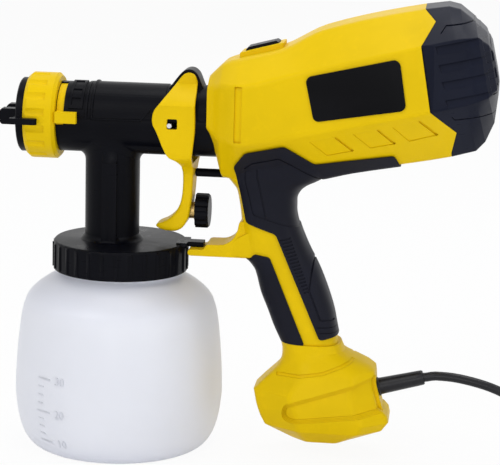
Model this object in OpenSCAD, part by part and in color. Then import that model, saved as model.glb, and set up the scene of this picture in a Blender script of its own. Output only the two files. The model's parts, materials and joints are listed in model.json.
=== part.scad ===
// Hand-held turbine paint sprayer with an under-slung cup.
// X runs from the nose to the rear, Y from the near side to the far side, Z up.
// The origin is the middle of the cup's underside.

/* [Cup] */
// Radius of the flat under the cup
cup_foot_r = 50.5; // [46:0.5:52]
// Largest outer radius of the cup
cup_belly_r = 66.3; // [63:0.1:68]
// Height of the cup's widest ring
cup_belly_z = 34; // [30:1:40]
// Outer radius at the cup's shoulder
cup_shoulder_r = 60.3; // [57:0.1:62]
// Height of the cup's shoulder
cup_shoulder_z = 93; // [88:0.5:95]
// Outer radius of the cup's neck
cup_neck_r = 38.5; // [36:0.5:39]
// Height where the neck starts
cup_neck_z = 110; // [107:0.5:112]
// Height of the cup's rim
cup_rim_z = 127.5; // [124:0.5:130]
// Wall of the cup
cup_wall = 2.2; // [1.6:0.1:3]

/* [Lid] */
// Outer radius of the lid
lid_r = 42.5; // [41.5:0.1:45]
// Height of the lid's skirt
lid_h = 18.5; // [16:0.5:20]
// Thickness of the lid's top
lid_top = 3; // [2:0.5:4]
// Thickness of the lid's gasket
gasket_h = 2.5; // [1.5:0.5:3]
// Number of grip ribs on the lid's skirt
lid_ribs = 30; // [18:1:40]
// Height of a grip rib above the skirt
lid_rib_h = 0.8; // [0.4:0.1:1.2]

/* [Stem and suction] */
// Radius of the stem between lid and barrel
stem_r = 17.2; // [15:0.1:18]
// Place of the stem ahead of the cup's middle
stem_x = -5.7; // [-8:0.1:-3]
// Wall of the stem
stem_wall = 2.4; // [2:0.1:3]
// Outer radius of the suction tube
tube_r = 4; // [3:0.5:5]
// Bore radius of the suction tube
tube_bore_r = 2.8; // [2:0.1:3.4]
// Angle by which the suction tube bends forward
tube_bend = 14; // [6:1:18]

/* [Barrel] */
// Height of the barrel's axis
barrel_z = 210.6; // [208:0.1:214]
// Outer radius of the barrel
barrel_r = 22; // [21:0.1:23]
// Bore radius of the barrel
barrel_bore_r = 17.5; // [16:0.1:18]
// Radius of the threaded front neck
neck_r = 20.5; // [19.5:0.1:21]
// Front end of the neck
neck_x0 = -53.3; // [-55:0.1:-52]
// Rear end of the barrel's full radius
barrel_x1 = 62.2; // [60:0.1:64]
// Length of the rear spigot
spigot_l = 5.8; // [4:0.1:7]
// Radius of the rear spigot
spigot_r = 19.5; // [18.5:0.1:20]
// Height of the raised saddle above the barrel
saddle_h = 0.6; // [0.3:0.1:1]

/* [Nose] */
// Outer radius of the ring nut
ring_r = 27; // [25.5:0.1:28]
// Length of the ring nut
ring_l = 20; // [18:0.5:20]
// Number of grip flutes in the ring nut
ring_flutes = 16; // [8:1:20]
// Radius of the air cap's disc
cap_r = 23.3; // [22:0.1:24]
// Thickness of the air cap's disc
cap_t = 4.8; // [4:0.1:6]
// How far the horns stand ahead of the disc
horn_l = 12; // [9:0.5:14]
// Width of a horn
horn_w = 10; // [8:0.5:11]
// Span of the two side wings
wing_span = 66; // [62:0.5:70]
// Thickness of a side wing
wing_t = 3.8; // [3:0.1:5]
// Radius of the hole in the fluid nozzle
nozzle_hole_r = 0.85; // [0.6:0.05:1.1]
// Radius of the needle
needle_r = 1.5; // [1.2:0.1:1.8]

/* [Trigger] */
// Distance of the pivot behind the cup's middle
pivot_x = 43; // [42:0.1:44]
// Height of the pivot above the barrel's axis
pivot_up = 25.8; // [25.4:0.1:26.6]
// Radius of the pivot pin
pivot_r = 2; // [1.5:0.1:2.5]
// Thickness of a trigger ear
ear_t = 2.6; // [2:0.1:3]
// Half of the fin's thickness between the trigger's ears
fin_t = 7.7; // [6:0.1:9]
// Width of the trigger's finger lever
lever_w = 30; // [24:1:36]
// Radius of the cross-pin on the needle
cross_r = 1.5; // [1.2:0.1:1.8]
// Place of the cross-pin along the barrel
cross_x = 33.6; // [33:0.1:34.2]
// Radius of the flow knob
knob_r = 10.9; // [9:0.1:11.5]
// Thickness of the flow knob
knob_t = 8.6; // [7:0.1:9.5]
// Number of scallops round the flow knob
knob_scallops = 12; // [8:1:16]
// Radius of the flow stud
stud_r = 5.3; // [4.5:0.1:5.6]

/* [Housing] */
// Upward tilt of the fan's axis in degrees
tilt = 13; // [12:0.1:14]
// Thickness of the housing's wall
wall = 2.6; // [2:0.1:3]
// Half of the housing's width at the rear
body_w = 50.5; // [49:0.1:52]
// Half of the handle's thickness across its core
grip_w = 17; // [15.5:0.1:19]
// Height of the rubber above the core
rubber_t = 1.5; // [0.8:0.1:2]
// Thickness of a badge plate
badge_t = 1; // [0.6:0.1:1.5]
// Half of the guard arm's width
arm_w = 12; // [9:0.5:14]
// Radius of a screw's shank
screw_r = 1.5; // [1.2:0.1:1.8]
// Radius of a screw's head
screw_head_r = 3.2; // [2.6:0.1:3.6]
// Radius of the switch plunger
plunger_r = 2.65; // [2.2:0.05:3]
// Travel left under the release button
button_travel = 2.5; // [1.5:0.1:2.6]
// Half of the release button's width
button_w = 7.5; // [6:0.5:9]
// Number of louvre slots on each side of the rear cover
louvres = 4; // [2:1:5]

/* [Fan and motor] */
// Outer radius of the fan's drum
drum_r = 34; // [30:0.5:34.5]
// Radius of the impeller
impeller_r = 30; // [26:0.5:31]
// Number of impeller blades
blades = 11; // [7:1:13]
// Outer radius of the motor can
motor_r = 24; // [22:0.5:26]
// Radius of the motor's shaft
shaft_r = 2.5; // [2:0.1:3]
// Number of slots in the armature
slots = 12; // [8:1:16]

/* [Base] */
// Height of the base above the surface
base_z = 11.5; // [11:0.1:12.5]
// Wall of the base
base_wall = 3; // [2:0.1:4]

/* [Cord] */
// Diameter of the cord
cord_d = 6; // [5:0.1:6]
// Length of the strain relief
relief_l = 30.5; // [26:0.5:32]
// Turns of the stored coil
coil_turns = 7.5; // [5.5:1:8.5]

/* [Hidden] */
$fn = 64;

// Clearances
run_fit = 0.05;
seat_fit = 0.03;
soft_gap = 0.3;
seam_gap = 0.15;
// Overlap that makes a cut or a joint certain
eps = 0.01;
cut = 1;

// Derived places
lid_z1 = cup_rim_z + gasket_h + lid_top;
lid_z0 = lid_z1 - lid_h;
spigot_x1 = barrel_x1 + spigot_l;
pivot_z = barrel_z + pivot_up;
saddle_r = barrel_r + saddle_h;
ear_y0 = barrel_r + 0.7;
ear_y1 = ear_y0 + ear_t;
ear_top_y0 = fin_t + 0.3;
ear_top_y1 = ear_top_y0 + ear_t;
cap_back_x = neck_x0 - 5.2;
cap_front_x = cap_back_x - 0.3 - cap_t;
ring_x0 = cap_back_x;
ring_x1 = ring_x0 + ring_l;
lever_top_z = barrel_z - barrel_r - 2.6;
groove_x0 = ring_x1 + 0.2;
groove_x1 = groove_x0 + 5.8;
knob_z = 153.7;
knob_x0 = 48;
plunger_z = 178;
plunger_x0 = 47.3;
fan_x = 185;
fan_z = 240;
cover_s = 11.5;
lug_z0 = lid_z1 - 2;
arm_top_z = lug_z0 - 0.3;
arm_x0 = 44.5;
grip_z0 = 73.5;
tongue_z0 = 62;
cord_r = cord_d / 2;

// Superellipse corner exponent of the handle and base rings
ring_pow = 0.72;
ring_pts = 28;

// ---------- functions ----------
function bez(a, b, c, t) = a * (1 - t) * (1 - t) + 2 * b * t * (1 - t) + c * t * t;
function arc_pts(a, b, c, n) = [for (i = [1:n]) bez(a, b, c, i / n)];
function unit(v) = v / norm(v);
function spow(v, p) = sign(v) * pow(abs(v), p);

// A point at s along the fan's axis, y across it and h above it
function fan_pt(s, y, h) =
  [fan_x + s * cos(tilt) - h * sin(tilt), y, fan_z + s * sin(tilt) + h * cos(tilt)];

// Eight corners of a housing section, grown by g
function corners(w, ht, hb, cu, cl, tw, bw, g) = [
  [w + g, cl - 0.4 * g], [w + g, cu + 0.4 * g], [tw, ht + g], [-tw, ht + g],
  [-w - g, cu + 0.4 * g], [-w - g, cl - 0.4 * g], [-bw, hb - g], [bw, hb - g]];

// A section across X and a section across the fan's axis
function x_ring(x, w, ht, hb, cu, cl, tw, bw, g) =
  [for (p = corners(w, ht, hb, cu, cl, tw, bw, g)) [x, p[0], p[1]]];
function s_ring(s, w, ht, hb, cu, cl, tw, bw, g) =
  [for (p = corners(w, ht, hb, cu, cl, tw, bw, g)) fan_pt(s, p[0], p[1])];

// A level ring from xf to xb, half as wide as b, grown by g
function level_ring(z, xf, xb, b, g) = [for (i = [0:ring_pts - 1])
  let (a = 360 * i / ring_pts)
  [(xf + xb) / 2 + ((xb - xf) / 2 + g) * spow(cos(a), ring_pow),
    (b + g) * spow(sin(a), ring_pow), z]];

// A ring of n points round p, square to t
function tube_ring(p, t, r, n) =
  let (side = unit(cross([0, 0, 1], t)), up = cross(t, side))
  [for (i = [0:n - 1]) p + r * (cos(360 * i / n) * side + sin(360 * i / n) * up)];
function tangent(pts, i) = let (n = len(pts) - 1)
  i == 0 ? unit(pts[1] - pts[0]) : i == n ? unit(pts[n] - pts[n - 1])
  : unit(unit(pts[i + 1] - pts[i]) + unit(pts[i] - pts[i - 1]));
function tube_rings(pts, r, n) =
  [for (i = [0:len(pts) - 1]) tube_ring(pts[i], tangent(pts, i), r, n)];

// ---------- shared shapes ----------
// Skin over a row of rings with the same number of points
module skin(rings) {
  n = len(rings[0]);
  k = len(rings);
  pts = [for (r = rings) for (p = r) p];
  sides = [for (i = [0:k - 2]) for (j = [0:n - 1])
    let (a = i * n + j, b = i * n + (j + 1) % n, c = b + n, d = a + n)
    for (f = [[a, d, c], [a, c, b]]) f];
  low = [[for (j = [0:n - 1]) j]];
  high = [[for (j = [0:n - 1]) k * n - 1 - j]];
  polyhedron(pts, concat(low, sides, high), convexity = 8);
}

module xcyl(x0, x1, r, y = 0, z = barrel_z) {
  translate([x0, y, z]) rotate([0, 90, 0]) cylinder(h = x1 - x0, r = r);
}

module xcone(x0, x1, r0, r1, z = barrel_z) {
  translate([x0, 0, z]) rotate([0, 90, 0]) cylinder(h = x1 - x0, r1 = r0, r2 = r1);
}

module ycyl(x, z, y0, y1, r) {
  translate([x, y1, z]) rotate([90, 0, 0]) cylinder(h = y1 - y0, r = r);
}

// A flat outline in X and Z, thick from y0 to y1
module slab(points, y0, y1) {
  translate([0, y1, 0]) rotate([90, 0, 0]) linear_extrude(y1 - y0) polygon(points);
}

module box(lo, hi) {
  translate(lo) cube(hi - lo);
}

module on_fan_axis() {
  translate([fan_x, 0, fan_z]) rotate([0, 90 - tilt, 0]) children();
}

module ring_of(r0, r1, z0, z1) {
  translate([0, 0, z0]) difference() {
    cylinder(h = z1 - z0, r = r1);
    translate([0, 0, -cut]) cylinder(h = z1 - z0 + 2 * cut, r = r0);
  }
}

module near_half() {
  box([-100, -200, -10], [500, 0, 400]);
}

module far_half() {
  box([-100, 0, -10], [500, 200, 400]);
}

// A coil spring along Z as one unbroken round wire
module spring(r, wire, h, turns) {
  steps = 12;
  n = turns * steps;
  pts = [for (i = [0:n]) [r * cos(360 * i / steps), r * sin(360 * i / steps),
    wire + (h - 2 * wire) * i / n]];
  skin(tube_rings(pts, wire, 6));
}

// ---------- cup ----------
// Half outline of the cup, w inside its outer face
function cup_side(w) = concat(
  [[cup_foot_r - w / 2, w]],
  arc_pts([cup_foot_r - w / 2, w], [cup_belly_r - w - 1.8, w + 2],
    [cup_belly_r - w, cup_belly_z], 9),
  arc_pts([cup_belly_r - w, cup_belly_z], [cup_belly_r - w + 0.2, cup_belly_z + 16],
    [cup_shoulder_r - w, cup_shoulder_z], 6),
  arc_pts([cup_shoulder_r - w, cup_shoulder_z], [cup_shoulder_r - w - 0.8, cup_shoulder_z + 10 - w],
    [cup_neck_r - w + 3.2, cup_neck_z - w], 7),
  [[cup_neck_r - w, cup_neck_z - w + 1.6], [cup_neck_r - w, cup_rim_z]]);

module cup() {
  outer = cup_side(0);
  inner = cup_side(cup_wall);
  color([0.93, 0.94, 0.97, 0.6]) rotate_extrude($fn = 96)
    polygon(concat([[0, 0]], outer, [for (i = [len(inner) - 1:-1:0]) inner[i]], [[0, cup_wall]]));
}

// ---------- spray head ----------
boss_r = 9;
boss_x0 = -46;
boss_x1 = 14;
packing_x0 = 3;
packing_x1 = 8;
packing_r = 5;
nozzle_shank_r = 6;
nozzle_shank_x1 = -38;
spider_x0 = 57;
spider_x1 = 60;
slot_x1 = cross_x + 8;
window_a = [-7, 37, 80];
suction_r = tube_r + seat_fit;
post_r = tube_r + 3;
vent_x = stem_x + 10.5;
fin_side = [[24, 222], [29, 228.6], [37, 239.2], [40.3, 242.8], [44.3, 243.4], [47.8, 240.8],
  [50, 235], [54.2, 226], [54.2, 222]];

module lid_shell() {
  ring_of(cup_neck_r + run_fit, lid_r, lid_z0, lid_z1 - lid_top + eps);
  translate([0, 0, lid_z1 - lid_top]) cylinder(h = lid_top - 1, r = lid_r);
  translate([0, 0, lid_z1 - 1]) cylinder(h = 1, r1 = lid_r, r2 = lid_r - 1);
  for (i = [0:lid_ribs - 1])
    rotate([0, 0, 360 * i / lid_ribs])
      box([lid_r - 1, -1, lid_z0 + 1], [lid_r + lid_rib_h, 1, lid_z1 - 2]);
  box([37, -10, lug_z0], [53.5, 10, lid_z1 + 1]);
}

module head_outer() {
  xcyl(neck_x0, groove_x0, neck_r);
  xcyl(groove_x0 - eps, groove_x1 + eps, neck_r - 1);
  difference() {
    xcyl(groove_x0 + 0.2, groove_x1 + eps, barrel_r);
    xcyl(groove_x0 - cut, groove_x1 + cut, barrel_r - 0.8);
    // window for the pattern ring's peg, on the near side
    translate([groove_x0 - cut, 0, barrel_z]) rotate([90, 0, 90])
      linear_extrude(groove_x1 - 0.8 - groove_x0 + cut)
        polygon(concat([[0, 0]], [for (a = window_a) 40 * [-cos(a), sin(a)]]));
  }
  xcyl(groove_x1, barrel_x1, barrel_r);
  xcyl(barrel_x1 - eps, spigot_x1, spigot_r);
  // raised saddle, with room for the trigger's ears
  for (x = [[-18, 29.5], [50.5, 55.8]])
    intersection() {
      xcyl(x[0], x[1], saddle_r);
      box([-20, -30, barrel_z + 2.5], [60, 30, barrel_z + 30]);
    }
  slab(fin_side, -fin_t, fin_t);
  translate([stem_x, 0, lid_z1 - eps]) cylinder(h = barrel_z - lid_z1 - 5, r = stem_r);
  translate([stem_x, 0, lid_z1 - eps]) cylinder(h = 4, r1 = stem_r + 3, r2 = stem_r);
  box([stem_x - 3.9, -stem_r - 1.4, lid_z1], [stem_x + 5.7, stem_r + 1.4, barrel_z - 20]);
}

module head_core() {
  xcyl(boss_x0, boss_x1, boss_r);
  translate([stem_x, 0, lid_z1 - lid_top]) cylinder(h = barrel_z - lid_z1, r = post_r);
  for (x = [boss_x0 + 1, spider_x0])
    difference() {
      xcyl(x, x + spider_x1 - spider_x0, barrel_bore_r + 1);
      for (a = [45:90:315])
        translate([x - cut, 0, barrel_z]) rotate([a, 0, 0]) translate([0, 12.8, 0])
          rotate([0, 90, 0]) cylinder(h = 6, r = 4);
    }
}

module head_shell() {
  color([0.07, 0.07, 0.08]) difference() {
    union() {
      difference() {
        union() {
          head_outer();
          lid_shell();
        }
        xcyl(neck_x0 - cut, spigot_x1 + cut, barrel_bore_r);
        translate([stem_x, 0, lid_z1]) cylinder(h = barrel_z - lid_z1 - 28, r = stem_r - stem_wall);
        translate([stem_x + 9, 0, lid_z1]) cylinder(h = barrel_z - lid_z1, r = 2.5);
      }
      head_core();
    }
    // fluid way, suction socket and vent
    xcyl(boss_x0 - cut, packing_x0 + eps, needle_r + 1.1);
    xcyl(boss_x0 - cut, nozzle_shank_x1, nozzle_shank_r + seat_fit);
    xcyl(packing_x0, boss_x1 + cut, packing_r + seat_fit);
    translate([stem_x, 0, lid_z1 - lid_top - cut]) cylinder(h = 40, r = suction_r);
    translate([stem_x, 0, lid_z1]) cylinder(h = barrel_z - lid_z1, r = tube_bore_r);
    translate([vent_x, 0, lid_z1 - lid_top - cut]) cylinder(h = lid_top + 2 * cut, r = 1.5);
    // needle guide, cross-pin slots, pivot holes and latch notch
    xcyl(spider_x0 - cut, spider_x1 + cut, needle_r + run_fit);
    box([cross_x - cross_r - 0.3, -40, barrel_z - cross_r - 0.2],
      [slot_x1, 40, barrel_z + cross_r + 0.2]);
    ycyl(pivot_x, pivot_z, -40, 40, pivot_r + seat_fit);
    box([63.2, -3.4, barrel_z + 10], [spigot_x1 + cut, 3.4, barrel_z + spigot_r + cut]);
  }
}

module lid_gasket() {
  color([0.2, 0.2, 0.22]) ring_of(cup_neck_r - 5, cup_neck_r - 0.2, cup_rim_z, cup_rim_z + gasket_h);
}

// Route of the suction tube, longer by e at both ends
dip_bend_z = 62;
dip_bend_r = 40;
dip_low_l = (dip_bend_z - 7 - dip_bend_r * sin(tube_bend)) / cos(tube_bend);
function dip_at(a) = [dip_bend_r * (cos(a) - 1), 0, dip_bend_z - dip_bend_r * sin(a)];
function dip_route(e) = concat([[0, 0, lid_z1 - lid_top - cut + 38 + e]],
  [for (i = [0:4]) dip_at(tube_bend * i / 4)],
  [dip_at(tube_bend) - (dip_low_l + e) * [sin(tube_bend), 0, cos(tube_bend)]]);
function dip_rings(pts, r) = [for (i = [0:len(pts) - 1]) let (up = cross(tangent(pts, i), [0, 1, 0]))
  [for (k = [0:19]) pts[i] + r * (cos(18 * k) * [0, 1, 0] + sin(18 * k) * up)]];

module suction_tube() {
  color([0.85, 0.87, 0.9]) translate([stem_x, 0, 0]) difference() {
    skin(dip_rings(dip_route(0), tube_r));
    skin(dip_rings(dip_route(cut), tube_bore_r));
  }
}

module vent_membrane() {
  color([0.9, 0.5, 0.2]) translate([vent_x, 0, lid_z1 - lid_top - 0.8]) cylinder(h = 0.8, r = 5);
}

module vent_cap() {
  color([0.15, 0.15, 0.16]) difference() {
    translate([vent_x, 0, lid_z1 - lid_top - 3]) cylinder(h = 3, r = 5.8);
    translate([vent_x, 0, lid_z1 - lid_top - 0.8]) cylinder(h = 2, r = 5 + seat_fit);
    translate([vent_x, 0, lid_z1 - lid_top - 4]) cylinder(h = 5, r = 1.2);
  }
}

module fluid_nozzle() {
  color([0.75, 0.76, 0.78]) difference() {
    union() {
      xcyl(boss_x0, nozzle_shank_x1, nozzle_shank_r);
      translate([boss_x0 - 4, 0, barrel_z]) rotate([0, 90, 0]) cylinder(h = 4, r = 8.4, $fn = 6);
      xcone(boss_x0 - 14, boss_x0 - 4, 2.4, 7);
      xcyl(boss_x0 - 18.5, boss_x0 - 14 + eps, 2.4);
    }
    xcyl(boss_x0 - 12, nozzle_shank_x1 + cut, needle_r + 1.1);
    xcone(boss_x0 - 16, boss_x0 - 12 + eps, nozzle_hole_r, needle_r + 1.1);
    xcyl(boss_x0 - 20, boss_x0 - 15.9, nozzle_hole_r);
  }
}

module needle_packing() {
  color([0.9, 0.9, 0.88]) difference() {
    xcyl(packing_x0, packing_x1, packing_r);
    xcyl(packing_x0 - cut, packing_x1 + cut, needle_r + run_fit);
  }
}

module packing_nut() {
  color([0.8, 0.65, 0.3]) difference() {
    union() {
      xcyl(packing_x1, boss_x1, packing_r);
      translate([boss_x1, 0, barrel_z]) rotate([0, 90, 0]) cylinder(h = 4, r = 8, $fn = 6);
    }
    xcyl(packing_x1 - cut, boss_x1 + 5, needle_r + run_fit);
  }
}

pin_y0 = -ear_top_y1 + 1;
module pivot_pin() {
  color([0.7, 0.7, 0.72]) {
    ycyl(pivot_x, pivot_z, pin_y0, ear_top_y1 + 1.6, pivot_r);
  }
}

module pivot_clips() {
  color([0.3, 0.3, 0.32]) difference() {
    ycyl(pivot_x, pivot_z, ear_top_y1 + 0.2, ear_top_y1 + 1, pivot_r + 1.4);
    ycyl(pivot_x, pivot_z, ear_top_y1 - cut, ear_top_y1 + 2 * cut, pivot_r + seat_fit);
  }
}

// ---------- nose ----------
module air_cap() {
  color([0.06, 0.06, 0.07]) difference() {
    union() {
      xcyl(cap_front_x + 0.8, cap_front_x + cap_t, cap_r);
      xcone(cap_front_x, cap_front_x + 0.8 + eps, cap_r - 0.8, cap_r);
      xcyl(cap_front_x + cap_t - eps, neck_x0 - 1, neck_r - 2.4);
      xcyl(neck_x0 - 2.2, neck_x0 - 0.1, neck_r - 0.2);
      xcone(cap_front_x - 2, cap_front_x + eps, 6, 9);
      for (side = [-1, 1]) {
        slab([[cap_front_x - horn_l, barrel_z - horn_w / 2 + 1.5],
          [cap_front_x - horn_l, barrel_z + horn_w / 2 - 1.5],
          [cap_front_x - horn_l + 1.5, barrel_z + horn_w / 2],
          [cap_front_x + 1, barrel_z + horn_w / 2], [cap_front_x + 1, barrel_z - horn_w / 2],
          [cap_front_x - horn_l + 1.5, barrel_z - horn_w / 2]], side * 10 - 3.5, side * 10 + 3.5);
        box([cap_front_x, side > 0 ? 15 : -wing_span / 2, barrel_z - wing_t / 2],
          [cap_front_x + cap_t, side > 0 ? wing_span / 2 : -15, barrel_z + wing_t / 2]);
        box([cap_front_x - 1.5, side > 0 ? ring_r + 1.2 : -wing_span / 2, barrel_z - wing_t / 2],
          [cap_front_x + 13, side > 0 ? wing_span / 2 : -ring_r - 1.2, barrel_z + wing_t / 2]);
        translate([cap_front_x + 13, side * (ring_r + 1.2 + wing_span / 2) / 2, barrel_z - wing_t / 2])
          cylinder(h = wing_t, r = (wing_span / 2 - ring_r - 1.2) / 2);
      }
    }
    xcone(boss_x0 - 14.4, neck_x0 + cut, 4, neck_r - 4);
    xcyl(cap_front_x - 5, neck_x0, 3);
    for (side = [-1, 1]) {
      xcyl(cap_front_x - horn_l + 3, cap_front_x + cap_t + 1.5, 1.6, y = side * 10);
      translate([cap_front_x - horn_l + 5, side * 10, barrel_z]) rotate([90 * side, 0, 0])
        rotate([0, -28, 0]) cylinder(h = 8, r = 0.9);
    }
  }
}

module ring_nut() {
  color([0.93, 0.74, 0.05]) difference() {
    union() {
      xcone(ring_x0, ring_x0 + 2.5, ring_r - 2, ring_r);
      xcyl(ring_x0 + 2.5 - eps, ring_x1 - 2, ring_r);
      xcone(ring_x1 - 2 - eps, ring_x1, ring_r, ring_r - 2);
    }
    xcyl(ring_x0 - cut, neck_x0, neck_r - 2.4 + run_fit);
    xcyl(neck_x0 - 2.4, ring_x1 + cut, neck_r + run_fit);
    for (i = [0:ring_flutes - 1])
      rotate_x(360 * (i + 0.5) / ring_flutes) xcyl(ring_x0 - cut, ring_x1 - 6.5, 3.6, y = ring_r + 2.6);
  }
}

// Turns its children about the barrel's axis
module rotate_x(a) {
  translate([0, 0, barrel_z]) rotate([a, 0, 0]) translate([0, 0, -barrel_z]) children();
}

peg_y0 = saddle_r + 0.5;
module pattern_ring() {
  color([0.93, 0.74, 0.05]) difference() {
    union() {
      xcyl(groove_x0 + 0.3, groove_x1 - 0.3, barrel_r - 0.9);
      box([groove_x0 + 0.6, -peg_y0 - 1, barrel_z - 1], [groove_x1 - 1.2, -19, barrel_z + 6]);
      box([groove_x0 + 0.4, -peg_y0 - 4, barrel_z - 1], [groove_x1 + 8, -peg_y0, barrel_z + 6]);
    }
    xcyl(groove_x0 - cut, groove_x1 + cut, neck_r - 1 + run_fit);
  }
}

// ---------- needle ----------
collar_x0 = 36.5;
collar_x1 = 39;
module needle() {
  tip_x = boss_x0 - 17.9;
  color([0.78, 0.79, 0.8]) difference() {
    union() {
      xcone(tip_x, tip_x + 5, 0.35, needle_r);
      xcyl(tip_x + 5 - eps, spider_x1 + 3, needle_r);
      xcyl(30, collar_x0 + eps, 3.6);
      xcyl(collar_x0, collar_x1, 5);
    }
    ycyl(cross_x, barrel_z, -10, 10, cross_r + seat_fit);
  }
}

module cross_pin() {
  color([0.8, 0.8, 0.82]) ycyl(cross_x, barrel_z, -ear_y1 - 0.2, ear_y1 + 0.2, cross_r);
}

module needle_spring() {
  color([0.6, 0.6, 0.63]) translate([collar_x1, 0, barrel_z]) rotate([0, 90, 0])
    spring(3.4, 0.5, spider_x0 - collar_x1, 8);
}

// ---------- trigger ----------
window_x0 = cross_x - cross_r - run_fit;
window_w = 6.4;
ear_side = [[24, 219.9], [22.9, 217], [22.6, 213.7], [23.2, 210.4], [24.6, 207.5], [31, 193.5],
  [33.5, 189.8], [37, 188.5], [40.2, 184], [40.4, 176], [46.9, 176], [47.6, 189.8],
  [49.5, 209.4], [49, 231], [48.2, 237.5], [46.4, 240.5], [43.4, 241.9], [40.4, 241.1],
  [38, 238.6]];
fold_z0 = barrel_z + 12.3;
fold_z1 = barrel_z + 24.8;
lever_side = [[37.2, lever_top_z], [40.2, 183], [40.4, 171.5], [39.4, 161.6], [37.9, 157],
  [35.2, 152.7], [32, 149.4], [28.7, 147.1], [24.2, 145.2], [23.3, 144], [24.2, 142.8],
  [28.8, 141.4], [34.2, 141], [38, 142], [40.8, 143.8], [43.4, 147.5], [45, 152.6],
  [45.9, 160], [46.6, 171.8], [47.2, lever_top_z]];

// Cross-section of an ear, upright, leaning in over the barrel, upright again, drawn along X
module ear_fold() {
  lift = ear_t / 2;
  rotate([90, 0, 90]) linear_extrude(60) polygon([
    [ear_y0, 170], [ear_y1, 170], [ear_y1, fold_z0 + lift / 2], [ear_top_y1, fold_z1 + lift / 2],
    [ear_top_y1, 250], [ear_top_y0, 250], [ear_top_y0, fold_z1], [ear_y0, fold_z0]]);
}

module trigger() {
  color([0.93, 0.74, 0.05]) difference() {
    union() {
      for (side = [0, 1])
        mirror([0, side, 0]) intersection() {
          slab(ear_side, 0, ear_y1);
          ear_fold();
        }
      slab([[37.2, lever_top_z], [40.2, 183], [40.35, 176], [46.8, 176], [47.2, lever_top_z]],
        -ear_y1, ear_y1);
      slab(lever_side, -lever_w / 2, lever_w / 2);
    }
    ycyl(pivot_x, pivot_z, pin_y0 - 0.1, 40, pivot_r + run_fit);
    ycyl(pivot_x, pivot_z, ear_top_y1, 40, pivot_r + 1.7);
    box([window_x0, -40, barrel_z - 2.2], [window_x0 + window_w, 40, barrel_z + window_w - 2.2]);
    xcyl(knob_x0 - 8.2, knob_x0 + cut, stud_r + run_fit, z = knob_z);
    // lightening pockets in the back of the lever
    for (side = [-1, 1])
      box([43.2, side > 0 ? 5 : 2 - lever_w / 2, 163], [48, side > 0 ? lever_w / 2 - 2 : -5, 173]);
  }
}

module flow_stud() {
  color([0.85, 0.66, 0.25]) {
    xcyl(knob_x0 - 8, knob_x0 - 0.2, stud_r, z = knob_z);
    xcyl(knob_x0 - 0.2 - eps, knob_x0 + knob_t - 1, 3, z = knob_z);
  }
}

module flow_knob() {
  x1 = knob_x0 + knob_t;
  color([0.07, 0.07, 0.08]) difference() {
    union() {
      xcyl(knob_x0, x1 - 1, knob_r, z = knob_z);
      xcone(x1 - 1 - eps, x1, knob_r, knob_r - 1, z = knob_z);
    }
    xcyl(knob_x0 - cut, x1 - 0.95, 3 + run_fit, z = knob_z);
    for (i = [0:knob_scallops - 1])
      translate([0, 0, knob_z]) rotate([360 * i / knob_scallops, 0, 0])
        xcyl(knob_x0 - cut, x1 + cut, 2.4, y = knob_r + 1.5, z = 0);
  }
}

// ---------- housing ----------
// Sections of the body from nose to rear: half width, top, bottom, upper and lower crease, flats
function body_rings(g) = concat(
  g < 0 ? [] : [x_ring(56.5, 25, 241, 206, 234, 210, 13, 13, 0),
    x_ring(61, 28.5, 245.5, 193, 236, 207, 15, 14, g)],
  [x_ring(g < 0 ? spigot_x1 + 0.5 : 66, g < 0 ? 36 : 34, 249.8, 178, 238, 205, 17, 15, g),
    x_ring(78, 43.5, 253.5, 177, 238.7, 203.5, 19, 16, g),
    s_ring(-78, body_w - 5.3, 38, -44.5, 23.5, -12.5, 20, 16, g),
    s_ring(-50, body_w - 3.6, 44.8, -44.5, 24.8, -13, 20, 16, g),
    s_ring(cover_s, body_w, 45.6, -46.6, 26.5, -12.5, 20, 16, g),
    s_ring(27, body_w, 44.4, -45.8, 26.8, -12, 19, 16, g)]);

// Line in s and h where the rear cover meets the housing
joint_line = [[10, 60], [11, 48], [18, 38], [7.5, 26.8], [5.5, -12.7], [18, -30], [12, -44],
  [11, -60]];
function fan_xz(p, ds = 0) = let (q = fan_pt(p[0] + ds, 0, p[1])) [q[0], q[2]];
module ahead_of_joint() {
  slab(concat([for (p = joint_line) fan_xz(p)],
    [fan_xz([-260, -60]), fan_xz([-260, 60])]), -70, 70);
}
module behind_joint() {
  slab(concat([for (p = joint_line) fan_xz(p, seam_gap)],
    [fan_xz([90, -60]), fan_xz([90, 60])]), -70, 70);
}

// Handle sections from the foot up: height, front, back and half width
grip_side = [[grip_z0, 105.5, 140.6, 16.5], [84, 100.5, 138.2, 16.8], [93, 97, 136.3, 17],
  [105, 92, 132.4, 17.3], [118.5, 88.2, 126.9, 17.6], [124, 84.3, 124.2, 17.7],
  [128, 80, 122.1, 17.8], [131, 79.6, 120.4, 17.8], [143, 78.5, 114.8, 18],
  [150, 77.5, 112.3, 18.4], [157, 76.7, 110.9, 19], [164, 75.5, 110.8, 19.8],
  [170, 74, 113.4, 20.6], [174, 71, 118, 21.6], [178, 67.8, 126, 23], [184, 66.8, 133, 25],
  [190, 69, 137, 27]];
function grip_rings(g) = [for (i = [0:len(grip_side) - 1]) let (r = grip_side[i])
  level_ring(r[0] + (i == 0 && g < 0 ? -cut : i == len(grip_side) - 1 ? g / 2 : 0),
    r[1], r[2], r[3] - 17 + grip_w, g)];

module body_form(g) {
  skin(body_rings(g));
}

module grip_form(g) {
  skin(grip_rings(g));
}

tongue = [109.5, 137, 12.5];
cord_way_x = 123.2;
module tongue_form(g, z0, z1) {
  skin([level_ring(z0, tongue[0], tongue[1], tongue[2], g),
    level_ring(z1, tongue[0], tongue[1], tongue[2], g)]);
}

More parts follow.
